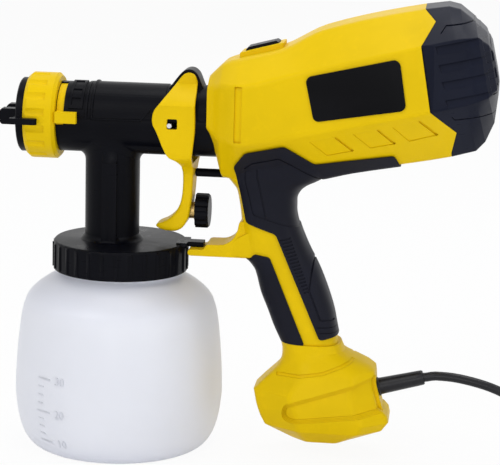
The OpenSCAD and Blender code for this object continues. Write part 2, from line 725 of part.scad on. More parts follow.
arm_side = [[arm_x0, 126.6], [arm_x0, arm_top_z - 1], [arm_x0 + 1, arm_top_z],
  [54.6, arm_top_z], [56, 134.2], [66.5, 134.4], [70.5, 136.2], [73.6, 139.2], [75.8, 144],
  [76.8, 150], [83, 150], [83, 126.6]];
frame_side = [[74.5, 250], [74.5, 255.7], [101.5, 263], [101.5, 255]];
// Screw places in X and Z
screw_at = [fan_pt(-18, 0, 36.5), fan_pt(-18, 0, -37), fan_pt(-92, 0, -30), [72.3, 0, 243],
  [101, 0, 158], [112, 0, 118], [125, 0, 84]];
base_screw_at = [[117, 0, 67.5], [130, 0, 67.5]];

module shell_form() {
  difference() {
    union() {
      intersection() {
        body_form(0);
        ahead_of_joint();
      }
      grip_form(0);
      slab(arm_side, -arm_w, arm_w);
      slab(frame_side, -button_w - 3.5, button_w + 3.5);
    }
    body_form(-wall);
    grip_form(-wall);
  }
  // floor of the handle and tongue into the base, with the cord's way through them
  difference() {
    union() {
      tongue_form(0, tongue_z0, grip_z0 + 2);
      intersection() {
        grip_form(-wall / 2);
        box([90, -30, grip_z0], [160, 30, grip_z0 + 2]);
      }
    }
    translate([cord_way_x, 0, tongue_z0 - cut]) cylinder(h = 20, r = cord_r + 2);
  }
}

block_x0 = 106;
block_l = 8.5;
carrier_t = 2;
// Walls across the inside that carry the fan and the motor
module carriers() {
  intersection() {
    body_form(-wall / 2);
    on_fan_axis() for (at = [[-74, drum_r], [-52, drum_r], [-6, motor_r]]) difference() {
      translate([-60, -60, at[0]]) cube([120, 120, 2]);
      translate([0, 0, at[0] - cut]) cylinder(h = 2 + 2 * cut, r = at[1] + seat_fit);
    }
  }
  intersection() {
    grip_form(-wall / 2);
    box([block_x0 - carrier_t, -40, 170], [block_x0, 40, 187]);
  }
}

module bosses(side) {
  intersection() {
    union() {
      body_form(-wall / 2);
      grip_form(-wall / 2);
    }
    for (p = screw_at)
      ycyl(p[0], p[2], side > 0 ? 0 : -60, side > 0 ? 60 : 0, screw_head_r + 1.4);
  }
}

// Cuts shared by both halves
module housing_cuts() {
  xcyl(50, barrel_x1 + 0.1, barrel_r + run_fit);
  xcyl(50, spigot_x1 + 3, spigot_r + run_fit);
  xcyl(60, 80, plunger_r + run_fit, z = plunger_z);
  box([77.6, -button_w - 0.4, 245], [98.4, button_w + 0.4, 270]);
  for (side = [-1, 1])
    box([75.6, side > 0 ? 43 : -60, barrel_z - 6], [80, side > 0 ? 60 : -43, barrel_z + 28]);
}

module plunger_guide() {
  xcyl(66, 76, plunger_r + 2.2, z = plunger_z);
}

// Shelf under the latch spring
module latch_shelf() {
  intersection() {
    body_form(-wall / 2);
    box([84, -60, 238], [94, 60, 240]);
  }
}

module housing_near() {
  color([0.93, 0.74, 0.05]) intersection() {
    difference() {
      union() {
        shell_form();
        carriers();
        bosses(-1);
        plunger_guide();
        latch_shelf();
      }
      housing_cuts();
      for (p = screw_at)
        ycyl(p[0], p[2], -11, 1, screw_r + seat_fit);
      for (p = base_screw_at)
        ycyl(p[0], p[2], -20, 1, screw_r + seat_fit);
    }
    near_half();
  }
}

module housing_far() {
  color([0.93, 0.74, 0.05]) intersection() {
    difference() {
      union() {
        shell_form();
        carriers();
        bosses(1);
        plunger_guide();
        latch_shelf();
      }
      housing_cuts();
      for (p = screw_at) {
        ycyl(p[0], p[2], -1, 20, screw_r + seat_fit);
        ycyl(p[0], p[2], 11, 70, screw_head_r + 0.2);
      }
      for (p = base_screw_at)
        ycyl(p[0], p[2], -1, 20, screw_r + seat_fit);
    }
    far_half();
  }
}

module screw(p, y0, y1) {
  difference() {
    union() {
      ycyl(p[0], p[2], y0, y1 + eps, screw_r);
      ycyl(p[0], p[2], y1, y1 + 2.4, screw_head_r);
    }
    box([p[0] - 2, y1 + 1.2, p[2] - 0.4], [p[0] + 2, y1 + 3, p[2] + 0.4]);
    box([p[0] - 0.4, y1 + 1.2, p[2] - 2], [p[0] + 0.4, y1 + 3, p[2] + 2]);
  }
}

module housing_screws() {
  color([0.6, 0.6, 0.62]) for (p = screw_at) screw(p, -10.5, 11);
}

// ---------- rubber grips and badges ----------
rear_panel = [[74, 187], [82, 197.5], [106, 203], [124, 190.5], [172.3, 197.5], [177, 188],
  [178, 150], [150, 79], [142.4, 79.5], [129.7, 77.2], [100.5, 144.2], [81.5, 150.5]];
front_panel = [[60, 126.5], [83.5, 126.5], [87.4, 130.6], [97, 129.3], [120.2, grip_z0 + 0.2],
  [90, grip_z0 + 0.2], [60, 110]];
badge_side = [[120.3, 247.1], [171.6, 259.5], [174.5, 257.4], [178.8, 231.7], [176.9, 229.1],
  [126.2, 220.1], [123.7, 221.6], [118.6, 244.3]];

// A skin of thickness t over the housing inside an outline
module overlay(outline, t) {
  intersection() {
    difference() {
      union() {
        body_form(t);
        grip_form(t);
      }
      body_form(0);
      grip_form(0);
    }
    slab(outline, -70, 70);
  }
}

module grip_rear(side) {
  color([0.09, 0.09, 0.1]) intersection() {
    overlay(rear_panel, rubber_t);
    if (side < 0) near_half(); else far_half();
  }
}

module grip_rear_near() {
  grip_rear(-1);
}

module grip_rear_far() {
  grip_rear_cut() grip_rear(1);
}

// The far grip leaves the screw heads free
module grip_rear_cut() {
  difference() {
    children();
    for (p = screw_at)
      ycyl(p[0], p[2], 11, 70, screw_head_r + 0.2);
  }
}

module grip_front(side) {
  color([0.09, 0.09, 0.1]) intersection() {
    difference() {
      grip_form(rubber_t);
      grip_form(0);
    }
    slab(front_panel, -70, 70);
    if (side < 0) near_half(); else far_half();
  }
}

module grip_front_near() {
  grip_front(-1);
}

module grip_front_far() {
  grip_rear_cut() grip_front(1);
}

module badge_near() {
  color([0.05, 0.05, 0.06]) intersection() {
    difference() {
      body_form(badge_t);
      body_form(0);
    }
    slab(badge_side, -70, 0);
  }
}

module badge_far() {
  color([0.05, 0.05, 0.06]) intersection() {
    difference() {
      body_form(badge_t);
      body_form(0);
    }
    slab(badge_side, 0, 70);
  }
}

// ---------- release button and switch ----------
latch_z = barrel_z + barrel_bore_r - 0.8;
spring_x = 88;
module release_button() {
  color([0.07, 0.07, 0.08]) {
    slab([[78, 250], [78, 257.4], [79.2, 258.9], [96.4, 263.5], [98, 262.6], [98, 256]],
      -button_w, button_w);
    box([78, -3, latch_z - 2.6], [80.6, 3, 251]);
    box([63.5, -3, latch_z - 2.6], [80.6, 3, latch_z]);
    box([63.5, -3, latch_z - 1], [65.8, 3, latch_z + 2.4]);
  }
}

module latch_spring() {
  color([0.6, 0.6, 0.63]) translate([spring_x, 0, 240]) spring(3, 0.45, 12.5, 6);
}

plunger_x1 = 84.5;
module switch_plunger() {
  color([0.08, 0.08, 0.09]) {
    xcone(plunger_x0, plunger_x0 + 0.6, plunger_r - 0.5, plunger_r, z = plunger_z);
    xcyl(plunger_x0 + 0.6 - eps, plunger_x1, plunger_r, z = plunger_z);
    xcyl(plunger_x1 - 2, plunger_x1, plunger_r + 1.8, z = plunger_z);
  }
}

module plunger_spring() {
  color([0.6, 0.6, 0.63]) translate([plunger_x1, 0, plunger_z]) rotate([0, 90, 0])
    spring(3.2, 0.45, block_x0 - carrier_t - plunger_x1 - 0.2, 8);
}

module switch_block() {
  color([0.2, 0.2, 0.22]) {
    box([block_x0, -7, 174.6], [block_x0 + block_l, 7, 184.5]);
    for (z = [177, 179.5, 182])
      box([block_x0 + block_l - eps, -2, z], [block_x0 + block_l + 3.5, 2, z + 0.8]);
  }
}

// ---------- fan and motor, along the fan's axis ----------
drum_s0 = -80;
drum_s1 = -46;
snout_s0 = -102.5;
snout_r = 14;
can_s1 = 4;
module fan_drum() {
  t = 2;
  color([0.25, 0.26, 0.28]) on_fan_axis() rotate_extrude() polygon([
    [snout_r, snout_s0], [snout_r + 2, drum_s0 - 4], [drum_r, drum_s0], [drum_r, drum_s1],
    [motor_r + seat_fit, drum_s1], [motor_r + seat_fit, drum_s1 - t], [drum_r - t, drum_s1 - t],
    [drum_r - t, drum_s0 + t], [snout_r + 1, drum_s0 - 2], [snout_r - t, snout_s0]]);
}

module impeller() {
  color([0.8, 0.8, 0.82]) on_fan_axis() difference() {
    union() {
      translate([0, 0, -74]) cylinder(h = 2, r = impeller_r);
      translate([0, 0, -74]) cylinder(h = 18, r = 6);
      for (i = [0:blades - 1])
        rotate([0, 0, 360 * i / blades]) translate([0, 0, -72 - eps]) linear_extrude(12)
          polygon([[5.5, -0.6], [14, 1.6], [22, 5.4], [impeller_r - 3.2, 9.6],
            [impeller_r - 4, 11], [21.2, 7], [13.4, 3.2], [5.5, 0.8]]);
    }
    translate([0, 0, -80]) cylinder(h = 40, r = shaft_r + seat_fit);
  }
}

module motor_shaft() {
  color([0.75, 0.75, 0.78]) on_fan_axis() translate([0, 0, -76]) cylinder(h = 83, r = shaft_r);
}

arm_s0 = -36;
arm_s1 = -10;
module armature() {
  color([0.55, 0.32, 0.15]) on_fan_axis() difference() {
    translate([0, 0, arm_s0]) cylinder(h = arm_s1 - arm_s0, r = motor_r - 5.5);
    translate([0, 0, arm_s0 - cut]) cylinder(h = 40, r = shaft_r + seat_fit);
    for (i = [0:slots - 1])
      rotate([0, 0, 360 * i / slots])
        box([motor_r - 10, -0.9, arm_s0 - cut], [motor_r, 0.9, arm_s1 + cut]);
  }
}

module commutator() {
  color([0.8, 0.5, 0.3]) on_fan_axis() ring_of(shaft_r + seat_fit, 6, arm_s1, -1);
}

module motor_can() {
  color([0.62, 0.63, 0.65]) on_fan_axis() {
    difference() {
      translate([0, 0, drum_s1 - 2]) cylinder(h = can_s1 - drum_s1 + 2, r = motor_r);
      translate([0, 0, drum_s1]) cylinder(h = can_s1 - drum_s1 + cut, r = motor_r - 1.5);
      translate([0, 0, drum_s1 - 4]) cylinder(h = 10, r = 6 + seat_fit);
      for (a = [45:90:315])
        rotate([0, 0, a]) translate([15, 0, drum_s1 - 4]) cylinder(h = 6, r = 3.5);
    }
    difference() {
      translate([0, 0, drum_s1 - 2]) cylinder(h = 6, r = 8);
      translate([0, 0, drum_s1 - 4]) cylinder(h = 10, r = 6 + seat_fit);
    }
  }
}

module motor_magnets() {
  color([0.3, 0.3, 0.33]) on_fan_axis() for (a = [0, 180])
    rotate([0, 0, a + 25]) translate([0, 0, arm_s0 - 2]) rotate_extrude(angle = 130)
      translate([motor_r - 4.8, 0]) square([3.2, arm_s1 - arm_s0 + 4]);
}

module motor_endcap() {
  color([0.15, 0.15, 0.17]) on_fan_axis() difference() {
    union() {
      translate([0, 0, can_s1]) cylinder(h = 2.5, r = motor_r);
      translate([0, 0, can_s1 - 5]) cylinder(h = 5 + eps, r = 8);
      translate([0, 0, can_s1 - 4]) ring_of(motor_r - 3.6, motor_r - 1.5 - seat_fit, 0, 4 + eps);
    }
    translate([0, 0, can_s1 - 6]) cylinder(h = 7, r = 6 + seat_fit);
    translate([0, 0, can_s1 - 6]) cylinder(h = 12, r = shaft_r + 0.5);
    for (a = [45:90:315])
      rotate([0, 0, a]) translate([14, 0, can_s1 - cut]) cylinder(h = 6, r = 3);
  }
}

module brush_holders() {
  color([0.35, 0.25, 0.15]) on_fan_axis() for (a = [0, 180])
    rotate([0, 0, a]) box([6 + soft_gap, -2.5, -9], [motor_r - 1.7, 2.5, -3]);
}

module bearing(s) {
  color([0.7, 0.71, 0.73]) on_fan_axis() ring_of(shaft_r + run_fit, 6, s, s + 4);
}

module bearing_front() {
  bearing(drum_s1 - 1);
}

module bearing_rear() {
  bearing(can_s1 - 3.5);
}

// ---------- rear cover ----------
function cover_rings(g) = [
  s_ring(cover_s - 10 - (g < 0 ? cut : 0), body_w - 0.6, 45.3, -46.3, 26.3, -12.6, 20, 16, g),
  s_ring(cover_s, body_w, 45.6, -46.6, 26.5, -12.5, 20, 16, g),
  s_ring(27, body_w, 44.4, -45.8, 26.8, -12, 19, 16, g),
  s_ring(33.5, body_w - 0.4, 41.4, -41.4, 26.5, -11.4, 18, 15, g),
  s_ring(41 + (g < 0 ? g / 3 : 0), body_w - 2.6, 32.5, -31, 25.6, -10.6, 17, 14, g),
  s_ring(46.5 + (g < 0 ? g / 1.5 : 0), body_w - 10, 24.5, -14.5, 19.5, -8.6, 16, 13, g),
  s_ring(48.5 + g, body_w - 15, 17.5, -7, 14, -3.5, 14, 12, g)];

// A row of three housing sections, each from s to the next, grown by g
function lip_rings(s0, s1, g) = [
  s_ring(s0, body_w - 0.6, 45.3, -46.3, 26.3, -12.6, 20, 16, g),
  s_ring(cover_s, body_w, 45.6, -46.6, 26.5, -12.5, 20, 16, g),
  s_ring(s1, body_w, 44.8, -46, 26.7, -12.2, 19, 16, g)];
lip_g = -wall - 1;
module cover_lip() {
  difference() {
    union() {
      skin(lip_rings(2, 22, lip_g));
      skin([s_ring(19.5, body_w, 45, -46.2, 26.6, -12.3, 19, 16, lip_g),
        s_ring(23, body_w, 44.8, -46, 26.7, -12.2, 19, 16, 1 - wall),
        s_ring(24, body_w, 44.7, -46, 26.7, -12.2, 19, 16, 1 - wall)]);
    }
    skin(lip_rings(1, 25, lip_g - 1.8));
  }
}

module rear_cover() {
  pitch = 9;
  color([0.13, 0.14, 0.18]) {
    difference() {
      intersection() {
        skin(cover_rings(0));
        behind_joint();
      }
      skin(cover_rings(-wall));
      on_fan_axis() for (i = [0:louvres - 1]) for (side = [-1, 1]) {
        // the axis frame has -X upward: louvres on the side faces, vents on the rear chamfer
        box([-20.5 + pitch * i, side > 0 ? 40 : -60, 17], [-19.3 + pitch * i, side > 0 ? 60 : -40, 36]);
        box([-16.5 + 7.5 * i, side > 0 ? 34 : -60, 41.5], [-13.3 + 7.5 * i, side > 0 ? 60 : -34, 45.5]);
      }
    }
    cover_lip();
  }
}

module filter_foam() {
  color([0.12, 0.12, 0.12]) skin([
    s_ring(cover_s + 1, body_w, 45.6, -46.6, 26.5, -12.5, 20, 16, lip_g - 1.8 - soft_gap),
    s_ring(23, body_w, 44.9, -46.1, 26.7, -12.2, 19, 16, lip_g - 1.8 - soft_gap)]);
}

// ---------- base ----------
// Base sections from the foot up: height, front, rear and half width
base_side = [[base_z, 112, 150, 20], [base_z + 1.2, 107, 157, 23], [base_z + 3.5, 101, 164, 25],
  [19, 96, 170.5, 26.8], [25, 92, 174.7, 28], [30.5, 89.7, 172.5, 28], [33, 89, 170.2, 27.6],
  [37.5, 88.3, 168.8, 27], [43.5, 89.8, 167, 26], [48.5, 95, 165.6, 25],
  [53.7, 100.3, 165.5, 23.5], [57.5, 103.4, 164.8, 22], [60.5, 104.6, 158.5, 20.5],
  [63, 105, 150, 19], [66, 105.2, 145, 17.8], [70, 104.9, 144, 17.6],
  [grip_z0, 104, 142.7, 18]];
base_hollow = [[base_z + base_wall, 112, 150, 20], [22, 100, 165, 26], [31, 93.5, 169, 27],
  [44, 92, 164.5, 25.5], [52, 99, 163, 23.5], [57, 104.5, 161, 21.5]];
relief_at = [161.5, 0, 43.3];
relief_tilt = 15;

module base_foot() {
  color([0.93, 0.74, 0.05]) difference() {
    skin([for (r = base_side) level_ring(r[0], r[1], r[2], r[3], 0)]);
    skin([for (r = base_hollow) level_ring(r[0], r[1], r[2], r[3], -base_wall)]);
    tongue_form(run_fit, tongue_z0, grip_z0 + cut);
    translate([cord_way_x, 0, 50]) cylinder(h = 20, r = cord_r + 2);
    for (side = [-1, 1]) {
      slab([[113.5, 38.1], [168, 56], [180, 56], [180, 33.5], [113.5, 24.7]],
        side > 0 ? 25.4 : -40, side > 0 ? 40 : -25.4);
      ycyl(112.6, 31.4, side > 0 ? 25.4 : -40, side > 0 ? 40 : -25.4, 6.7);
    }
    translate(relief_at) rotate([0, 90 - relief_tilt, 0]) translate([0, 0, -8])
      cylinder(h = 30, r = cord_r + 1.6 + seat_fit);
    for (p = base_screw_at) {
      ycyl(p[0], p[2], -16, 20, screw_r + seat_fit);
      ycyl(p[0], p[2], 14.5, 30, screw_head_r + 0.2);
    }
  }
}

module base_screws() {
  color([0.6, 0.6, 0.62]) for (p = base_screw_at) screw(p, -15, 14.5);
}

// ---------- cord ----------
module strain_relief() {
  ribs = 7;
  color([0.07, 0.07, 0.08]) translate(relief_at) rotate([0, 90 - relief_tilt, 0])
    difference() {
      union() {
        translate([0, 0, -1]) cylinder(h = 6, r = cord_r + 1.6);
        translate([0, 0, -2.6]) cylinder(h = 2, r = cord_r + 3);
        translate([0, 0, 4]) cylinder(h = relief_l, r1 = cord_r + 1.6, r2 = cord_r + 0.8);
      }
      translate([0, 0, -5]) cylinder(h = relief_l + 12, r = cord_r + run_fit);
      for (i = [0:ribs - 1])
        translate([0, 0, 8 + 3.4 * i]) ring_of(cord_r + 0.9, cord_r + 4, 0, 1.4);
    }
}

relief_end = relief_at + (relief_l + 4) * [cos(relief_tilt), 0, sin(relief_tilt)];
// Layers of the stored coil and its middle
layer_z0 = cord_r;
layer_z1 = layer_z0 + cord_d + 0.5;
coil_step = cord_d + 0.5;
coil_out = 47.6;
coil_in = coil_out - coil_step * coil_turns / 2;
coil_mid = [340, coil_out];
coil_rings = 24;

// Free stretch from the strain relief down to the coil
stretch_route = [relief_end, [203, 0, 53.6], [214, 0, 53.2], [226, 0, 51.2], [238, 0, 48],
  [250, 0, 43], [262, 0, 36], [274, 0, 27.6], [286, 0, 19], [298, 0, 11.4], [309, 0, 6],
  [318, 0, 3.5], [coil_mid[0] - 2 * cord_d, 0, layer_z0], [coil_mid[0] - cord_d, 0, layer_z0]];

function climb(t) = t < -0.25 ? 0 : t > 0.25 ? 1 : let (k = 2 * t + 0.5) k * k * (3 - 2 * k);
function coil_pt(i) = let (t = i / coil_rings - coil_turns / 2, a = 360 * i / coil_rings - 90,
  r = coil_in + coil_step * abs(t))
  [coil_mid[0] + r * cos(a), coil_mid[1] + r * sin(a),
    layer_z0 + (layer_z1 - layer_z0) * climb(t)];
coil_n = coil_turns * coil_rings;
coil_core = [for (i = [0:coil_n]) coil_pt(i)];
coil_route = concat([[coil_mid[0] - cord_d, 0, layer_z0]], coil_core,
  [coil_pt(coil_n) - [cord_d, 0, 0]]);
coil_least = min([for (i = [0:coil_n - 12]) for (j = [i + 12:coil_n])
  norm(coil_core[i] - coil_core[j])]) - cord_d;
echo(least_gap_of_coil_to_itself = coil_least);

// Short way down from the coil to the plug, beside the coil
tail_start = coil_pt(coil_n) - [cord_d, 0, 0];
plug_x0 = 306;
plug_z = 6.5;
tail_lead = 2;
tail_drop = 22;
tail_route = concat([tail_start], [for (i = [0:4]) let (t = i / 4)
    [tail_start[0] - tail_lead - tail_drop * t, tail_start[1],
      tail_start[2] - (tail_start[2] - plug_z) * t * t * (3 - 2 * t)]],
  [[plug_x0, tail_start[1], plug_z]]);

module cord_stretch() {
  color([0.06, 0.06, 0.07]) skin(tube_rings(stretch_route, cord_r, 10));
}

module cord_coil() {
  color([0.06, 0.06, 0.07]) skin(tube_rings(coil_route, cord_r, 6));
}

module cord_tail() {
  color([0.06, 0.06, 0.07]) skin(tube_rings(tail_route, cord_r, 10));
}

module plug_body() {
  color([0.07, 0.07, 0.08]) translate([plug_x0, tail_start[1], plug_z]) rotate([0, -90, 0]) {
    cylinder(h = 8, r1 = cord_r + 0.8, r2 = cord_r + 2.4);
    box([-plug_z + 1, -9, 7], [plug_z - 1, 9, 14]);
    box([-plug_z, -12, 13], [plug_z, 12, 32]);
  }
}

module plug_blades() {
  color([0.85, 0.75, 0.45]) for (side = [-1, 1])
    box([plug_x0 - 49, tail_start[1] + side * 6.35 - 0.75, plug_z - 3.15],
      [plug_x0 - 32, tail_start[1] + side * 6.35 + 0.75, plug_z + 3.15]);
}

cup();
head_shell();
lid_gasket();
suction_tube();
vent_membrane();
vent_cap();
fluid_nozzle();
needle_packing();
packing_nut();
pivot_pin();
pivot_clips();
air_cap();
ring_nut();
pattern_ring();
needle();
cross_pin();
needle_spring();
trigger();
flow_stud();
flow_knob();
housing_near();
housing_far();
housing_screws();
grip_rear_near();
grip_rear_far();
grip_front_near();
grip_front_far();
badge_near();
badge_far();
release_button();
latch_spring();
switch_plunger();
plunger_spring();
switch_block();
fan_drum();
impeller();
motor_shaft();
armature();
commutator();
motor_can();
motor_magnets();
motor_endcap();
brush_holders();
bearing_front();
bearing_rear();
rear_cover();
filter_foam();
base_foot();
base_screws();
strain_relief();
cord_stretch();
cord_coil();
cord_tail();
plug_body();
plug_blades();
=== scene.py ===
"""Hand-held turbine paint sprayer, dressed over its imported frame."""
import json
import math

import bmesh
import bpy
from bpy.props import FloatProperty, FloatVectorProperty, IntProperty, PointerProperty
from mathutils import Matrix, Vector


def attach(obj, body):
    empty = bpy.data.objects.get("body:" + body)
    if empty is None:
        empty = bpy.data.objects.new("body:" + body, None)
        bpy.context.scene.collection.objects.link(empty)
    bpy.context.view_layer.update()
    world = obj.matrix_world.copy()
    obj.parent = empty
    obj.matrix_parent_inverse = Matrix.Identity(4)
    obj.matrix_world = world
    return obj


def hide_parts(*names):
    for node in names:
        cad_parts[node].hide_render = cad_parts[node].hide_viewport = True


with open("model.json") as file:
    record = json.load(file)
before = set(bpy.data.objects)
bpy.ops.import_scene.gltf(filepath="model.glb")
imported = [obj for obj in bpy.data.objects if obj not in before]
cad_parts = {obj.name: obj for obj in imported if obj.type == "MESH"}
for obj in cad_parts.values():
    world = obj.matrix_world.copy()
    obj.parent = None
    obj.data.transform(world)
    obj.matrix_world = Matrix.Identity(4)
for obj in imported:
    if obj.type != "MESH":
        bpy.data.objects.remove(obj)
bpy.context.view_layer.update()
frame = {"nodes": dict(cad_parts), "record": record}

bl_info = {
    "name": "Turbine paint sprayer",
    "version": (1, 0, 0),
    "blender": (4, 5, 0),
    "location": "View3D > Sidebar > Sprayer",
    "description": "Hand-held turbine paint sprayer: cup, gun head, housing, handle, base and cord",
    "category": "Add Mesh",
}

MM = 0.001
# The fan's axis rises to the rear from this place
TILT = math.radians(13)
FAN_X, FAN_Z = 185, 240
# The barrel's axis runs along X, and the stem stands ahead of the cup's middle
BARREL_Z, BARREL_R = 210.6, 22
STEM_X, STEM_R = -5.7, 17.2
# The screw that the flow knob turns, and the pin that pushes the switch
STUD_Z, PLUNGER_Z = 153.7, 178
# The wall of the housing, the handle, the cover and the base
WALL = 2.6
# Past the widest side, for shapes that cut right through
OUT = 70
# Corners closer than this are one
CLOSE = 1e-4


# ---------- sizes and colours that a user may change ----------
def length(name, description, default):
    """A size in metres."""
    return FloatProperty(name=name, description=description, default=default,
                         min=0.0, unit="LENGTH", precision=5)


def colour(name, description, default):
    """A linear colour."""
    return FloatVectorProperty(name=name, description=description, default=default,
                               subtype="COLOR", size=3, min=0.0, max=1.0)


class SprayerSizes(bpy.types.PropertyGroup):
    """Sizes of the visible detail."""
    crease: length("Body crease", "Radius of the long creases of the housing", 0.003)
    edge: length("Edge softness", "Radius at which moulded edges catch the light", 0.0005)
    rubber: length("Rubber thickness", "How far the grip rubber stands off the handle", 0.0015)
    recess: length("Rubber recess", "Depth of the sunk panels in the grip rubber", 0.0006)
    badge: length("Badge thickness", "Thickness of the bare badge", 0.001)
    slash: length("Panel depth", "Depth of the slanted panels under the housing", 0.0005)
    louvre: length("Louvre depth", "Depth of the louvres in the rear cover", 0.0013)
    emboss: length("Mark height", "How far the cup's marks stand out", 0.0002)
    cord: length("Cord diameter", "Diameter of the mains cord", 0.006)
    knurls: IntProperty(name="Knurls", description="Ribs in the thumb strip", default=17,
                        min=4, max=40)


class SprayerColours(bpy.types.PropertyGroup):
    """Colours of the moulded parts."""
    yellow: colour("Yellow", "Housing, trigger and ring nut", (0.82, 0.552, 0.002))
    black: colour("Black", "Gun head, lid and air cap", (0.0030, 0.0032, 0.0055))
    navy: colour("Navy", "Rear cover", (0.008, 0.010, 0.022))
    rubber: colour("Rubber", "Grip rubber", (0.007, 0.0075, 0.014))
    badge: colour("Badge", "Bare gloss badge", (0.002, 0.002, 0.003))
    cup: colour("Cup", "Milky cup", (0.85, 0.865, 0.95))
    cord: colour("Cord", "Cord, strain relief and plug", (0.006, 0.006, 0.008))
    brass: colour("Brass", "Flow stud and plug blades", (0.60, 0.42, 0.16))
    steel: colour("Steel", "Pins and screws", (0.55, 0.55, 0.56))


# ---------- shapes, all in millimetres until they become a piece ----------
def fan(s, y, h):
    """A point at s along the fan's axis, y across it and h above it."""
    return Vector((FAN_X + s * math.cos(TILT) - h * math.sin(TILT), y,
                   FAN_Z + s * math.sin(TILT) + h * math.cos(TILT)))


def fan_xz(points):
    """Places in s and h turned into X and Z."""
    return [(p.x, p.z) for p in (fan(s, 0, h) for s, h in points)]


def curved(points, radius, steps=4):
    """A closed outline with its corners turned into short curves."""
    points = [Vector(p) for p in points]
    most = 0.49  # a corner takes less than half of a side
    out = []
    for i, p in enumerate(points):
        before, after = points[i - 1] - p, points[(i + 1) % len(points)] - p
        r = radius[i] if isinstance(radius, list) else radius
        a = p + before.normalized() * min(r, most * before.length)
        b = p + after.normalized() * min(r, most * after.length)
        for k in range(steps + 1):
            t = k / steps
            out.append(a * (1 - t) ** 2 + p * (2 * t * (1 - t)) + b * t * t)
    return out


def through(rings, at, per=4):
    """Rings at the places 'at' with smooth steps between them that never overshoot."""
    gaps = [b - a for a, b in zip(at, at[1:])]

    def slopes(values):
        """The rise at every ring, level where the values turn."""
        rise = [(b - a) / g for a, b, g in zip(values, values[1:], gaps)]
        mid = [0.0 if a * b <= 0 else 2 * a * b / (a + b) for a, b in zip(rise, rise[1:])]
        return [rise[0]] + mid + [rise[-1]]

    slope = [[slopes([r[j][axis] for r in rings]) for axis in range(3)]
             for j in range(len(rings[0]))]
    out = []
    for i, gap in enumerate(gaps):
        for k in range(per):
            t = k / per
            keep, leave = 2 * t ** 3 - 3 * t ** 2 + 1, t ** 3 - 2 * t ** 2 + t
            come, arrive = 3 * t ** 2 - 2 * t ** 3, t ** 3 - t ** 2
            out.append([Vector([keep * a[x] + come * b[x]
                                + gap * (leave * slope[j][x][i] + arrive * slope[j][x][i + 1])
                                for x in range(3)])
                        for j, (a, b) in enumerate(zip(rings[i], rings[i + 1]))])
    return out + [[Vector(p) for p in rings[-1]]]


def loft(rings, loop=False):
    """A closed skin over rings with the same number of points: one ring, extruded on."""
    bm = bmesh.new()
    count = len(rings[0])
    ring = [bm.verts.new(p) for p in rings[0]]
    edges = first = [bm.edges.new((ring[i - 1], ring[i])) for i in range(count)]
    if not loop:
        bm.faces.new(ring)
    for row in rings[1:]:
        place = {vert: i for i, vert in enumerate(ring)}
        grown = bmesh.ops.extrude_edge_only(bm, edges=edges)["geom"]
        fresh = [None] * count
        for vert in (g for g in grown if isinstance(g, bmesh.types.BMVert)):
            for edge in vert.link_edges:
                if edge.other_vert(vert) in place:
                    fresh[place[edge.other_vert(vert)]] = vert
        ring = fresh
        edges = [bm.edges.get((ring[i - 1], ring[i])) for i in range(count)]
        for vert, p in zip(ring, row):
            vert.co = p
    if loop:
        bmesh.ops.bridge_loops(bm, edges=first + edges)
    else:
        bm.faces.new(ring)
    bmesh.ops.recalc_face_normals(bm, faces=bm.faces)
    return bm


def bevelled(bm, edges, width, segments=2):
    """Rounds some edges."""
    bmesh.ops.bevel(bm, geom=edges, offset=width, segments=segments, profile=0.5,
                    affect="EDGES", material=-1, clamp_overlap=True)
    return bm


def plate(outline, y0, y1, radius=0.0, edge=0.0, steps=4, segments=2):
    """An outline in X and Z, thick from y0 to y1, with soft corners and edges."""
    points = [Vector((x, y0, z)) for x, z in outline]
    if radius:
        points = curved(points, radius, steps)
    bm = bmesh.new()
    face = bm.faces.new([bm.verts.new(p) for p in points])
    grown = bmesh.ops.extrude_face_region(bm, geom=[face])["geom"]
    bmesh.ops.translate(bm, verts=[g for g in grown if isinstance(g, bmesh.types.BMVert)],
                        vec=(0, y1 - y0, 0))
    bmesh.ops.recalc_face_normals(bm, faces=bm.faces)
    if edge:
        rims = [e for e in bm.edges if abs(e.verts[0].co.y - e.verts[1].co.y) < CLOSE / 10]
        bevelled(bm, rims, edge, segments)
    return bm


def spun(profile, steps=96, closed=False):
    """A profile of radius and height turned round Z."""
    bm = bmesh.new()
    line = [bm.verts.new((r, 0, z)) for r, z in profile]
    edges = [bm.edges.new(pair) for pair in zip(line, line[1:])]
    if closed:
        edges.append(bm.edges.new((line[-1], line[0])))
    bmesh.ops.spin(bm, geom=line + edges, axis=(0, 0, 1), cent=(0, 0, 0),
                   angle=2 * math.pi, steps=steps, use_merge=True)
    bmesh.ops.remove_doubles(bm, verts=bm.verts, dist=CLOSE)
    bmesh.ops.recalc_face_normals(bm, faces=bm.faces)
    return bm


def rod(r, start, end, steps=96):
    """A round rod along Z."""
    return spun([(0, start), (r, start), (r, end), (0, end)], steps)


def rod_x(r, x0, x1, z, steps=96):
    """A round rod along X at a height."""
    bm = rod(r, x0, x1, steps)
    bm.transform(Matrix.Translation((0, 0, z)) @ Matrix.Rotation(math.pi / 2, 4, "Y"))
    return bm


def across(r, places, y0, y1, steps=28):
    """Round rods along Y at places in X and Z."""
    rods = []
    for x, z in places:
        rods.append(rod(r, y0, y1, steps))
        rods[-1].transform(Matrix.Translation((x, 0, z))
                           @ Matrix.Rotation(-math.pi / 2, 4, "X"))
    return merged(*rods)


def block(low, high, edge=0.0, segments=2):
    """A box with soft edges."""
    bm = bmesh.new()
    bmesh.ops.create_cube(bm, size=1.0)
    low, high = Vector(low), Vector(high)
    bmesh.ops.scale(bm, vec=high - low, verts=bm.verts)
    bmesh.ops.translate(bm, vec=(low + high) / 2, verts=bm.verts)
    if edge:
        bevelled(bm, bm.edges[:], edge, segments)
    return bm


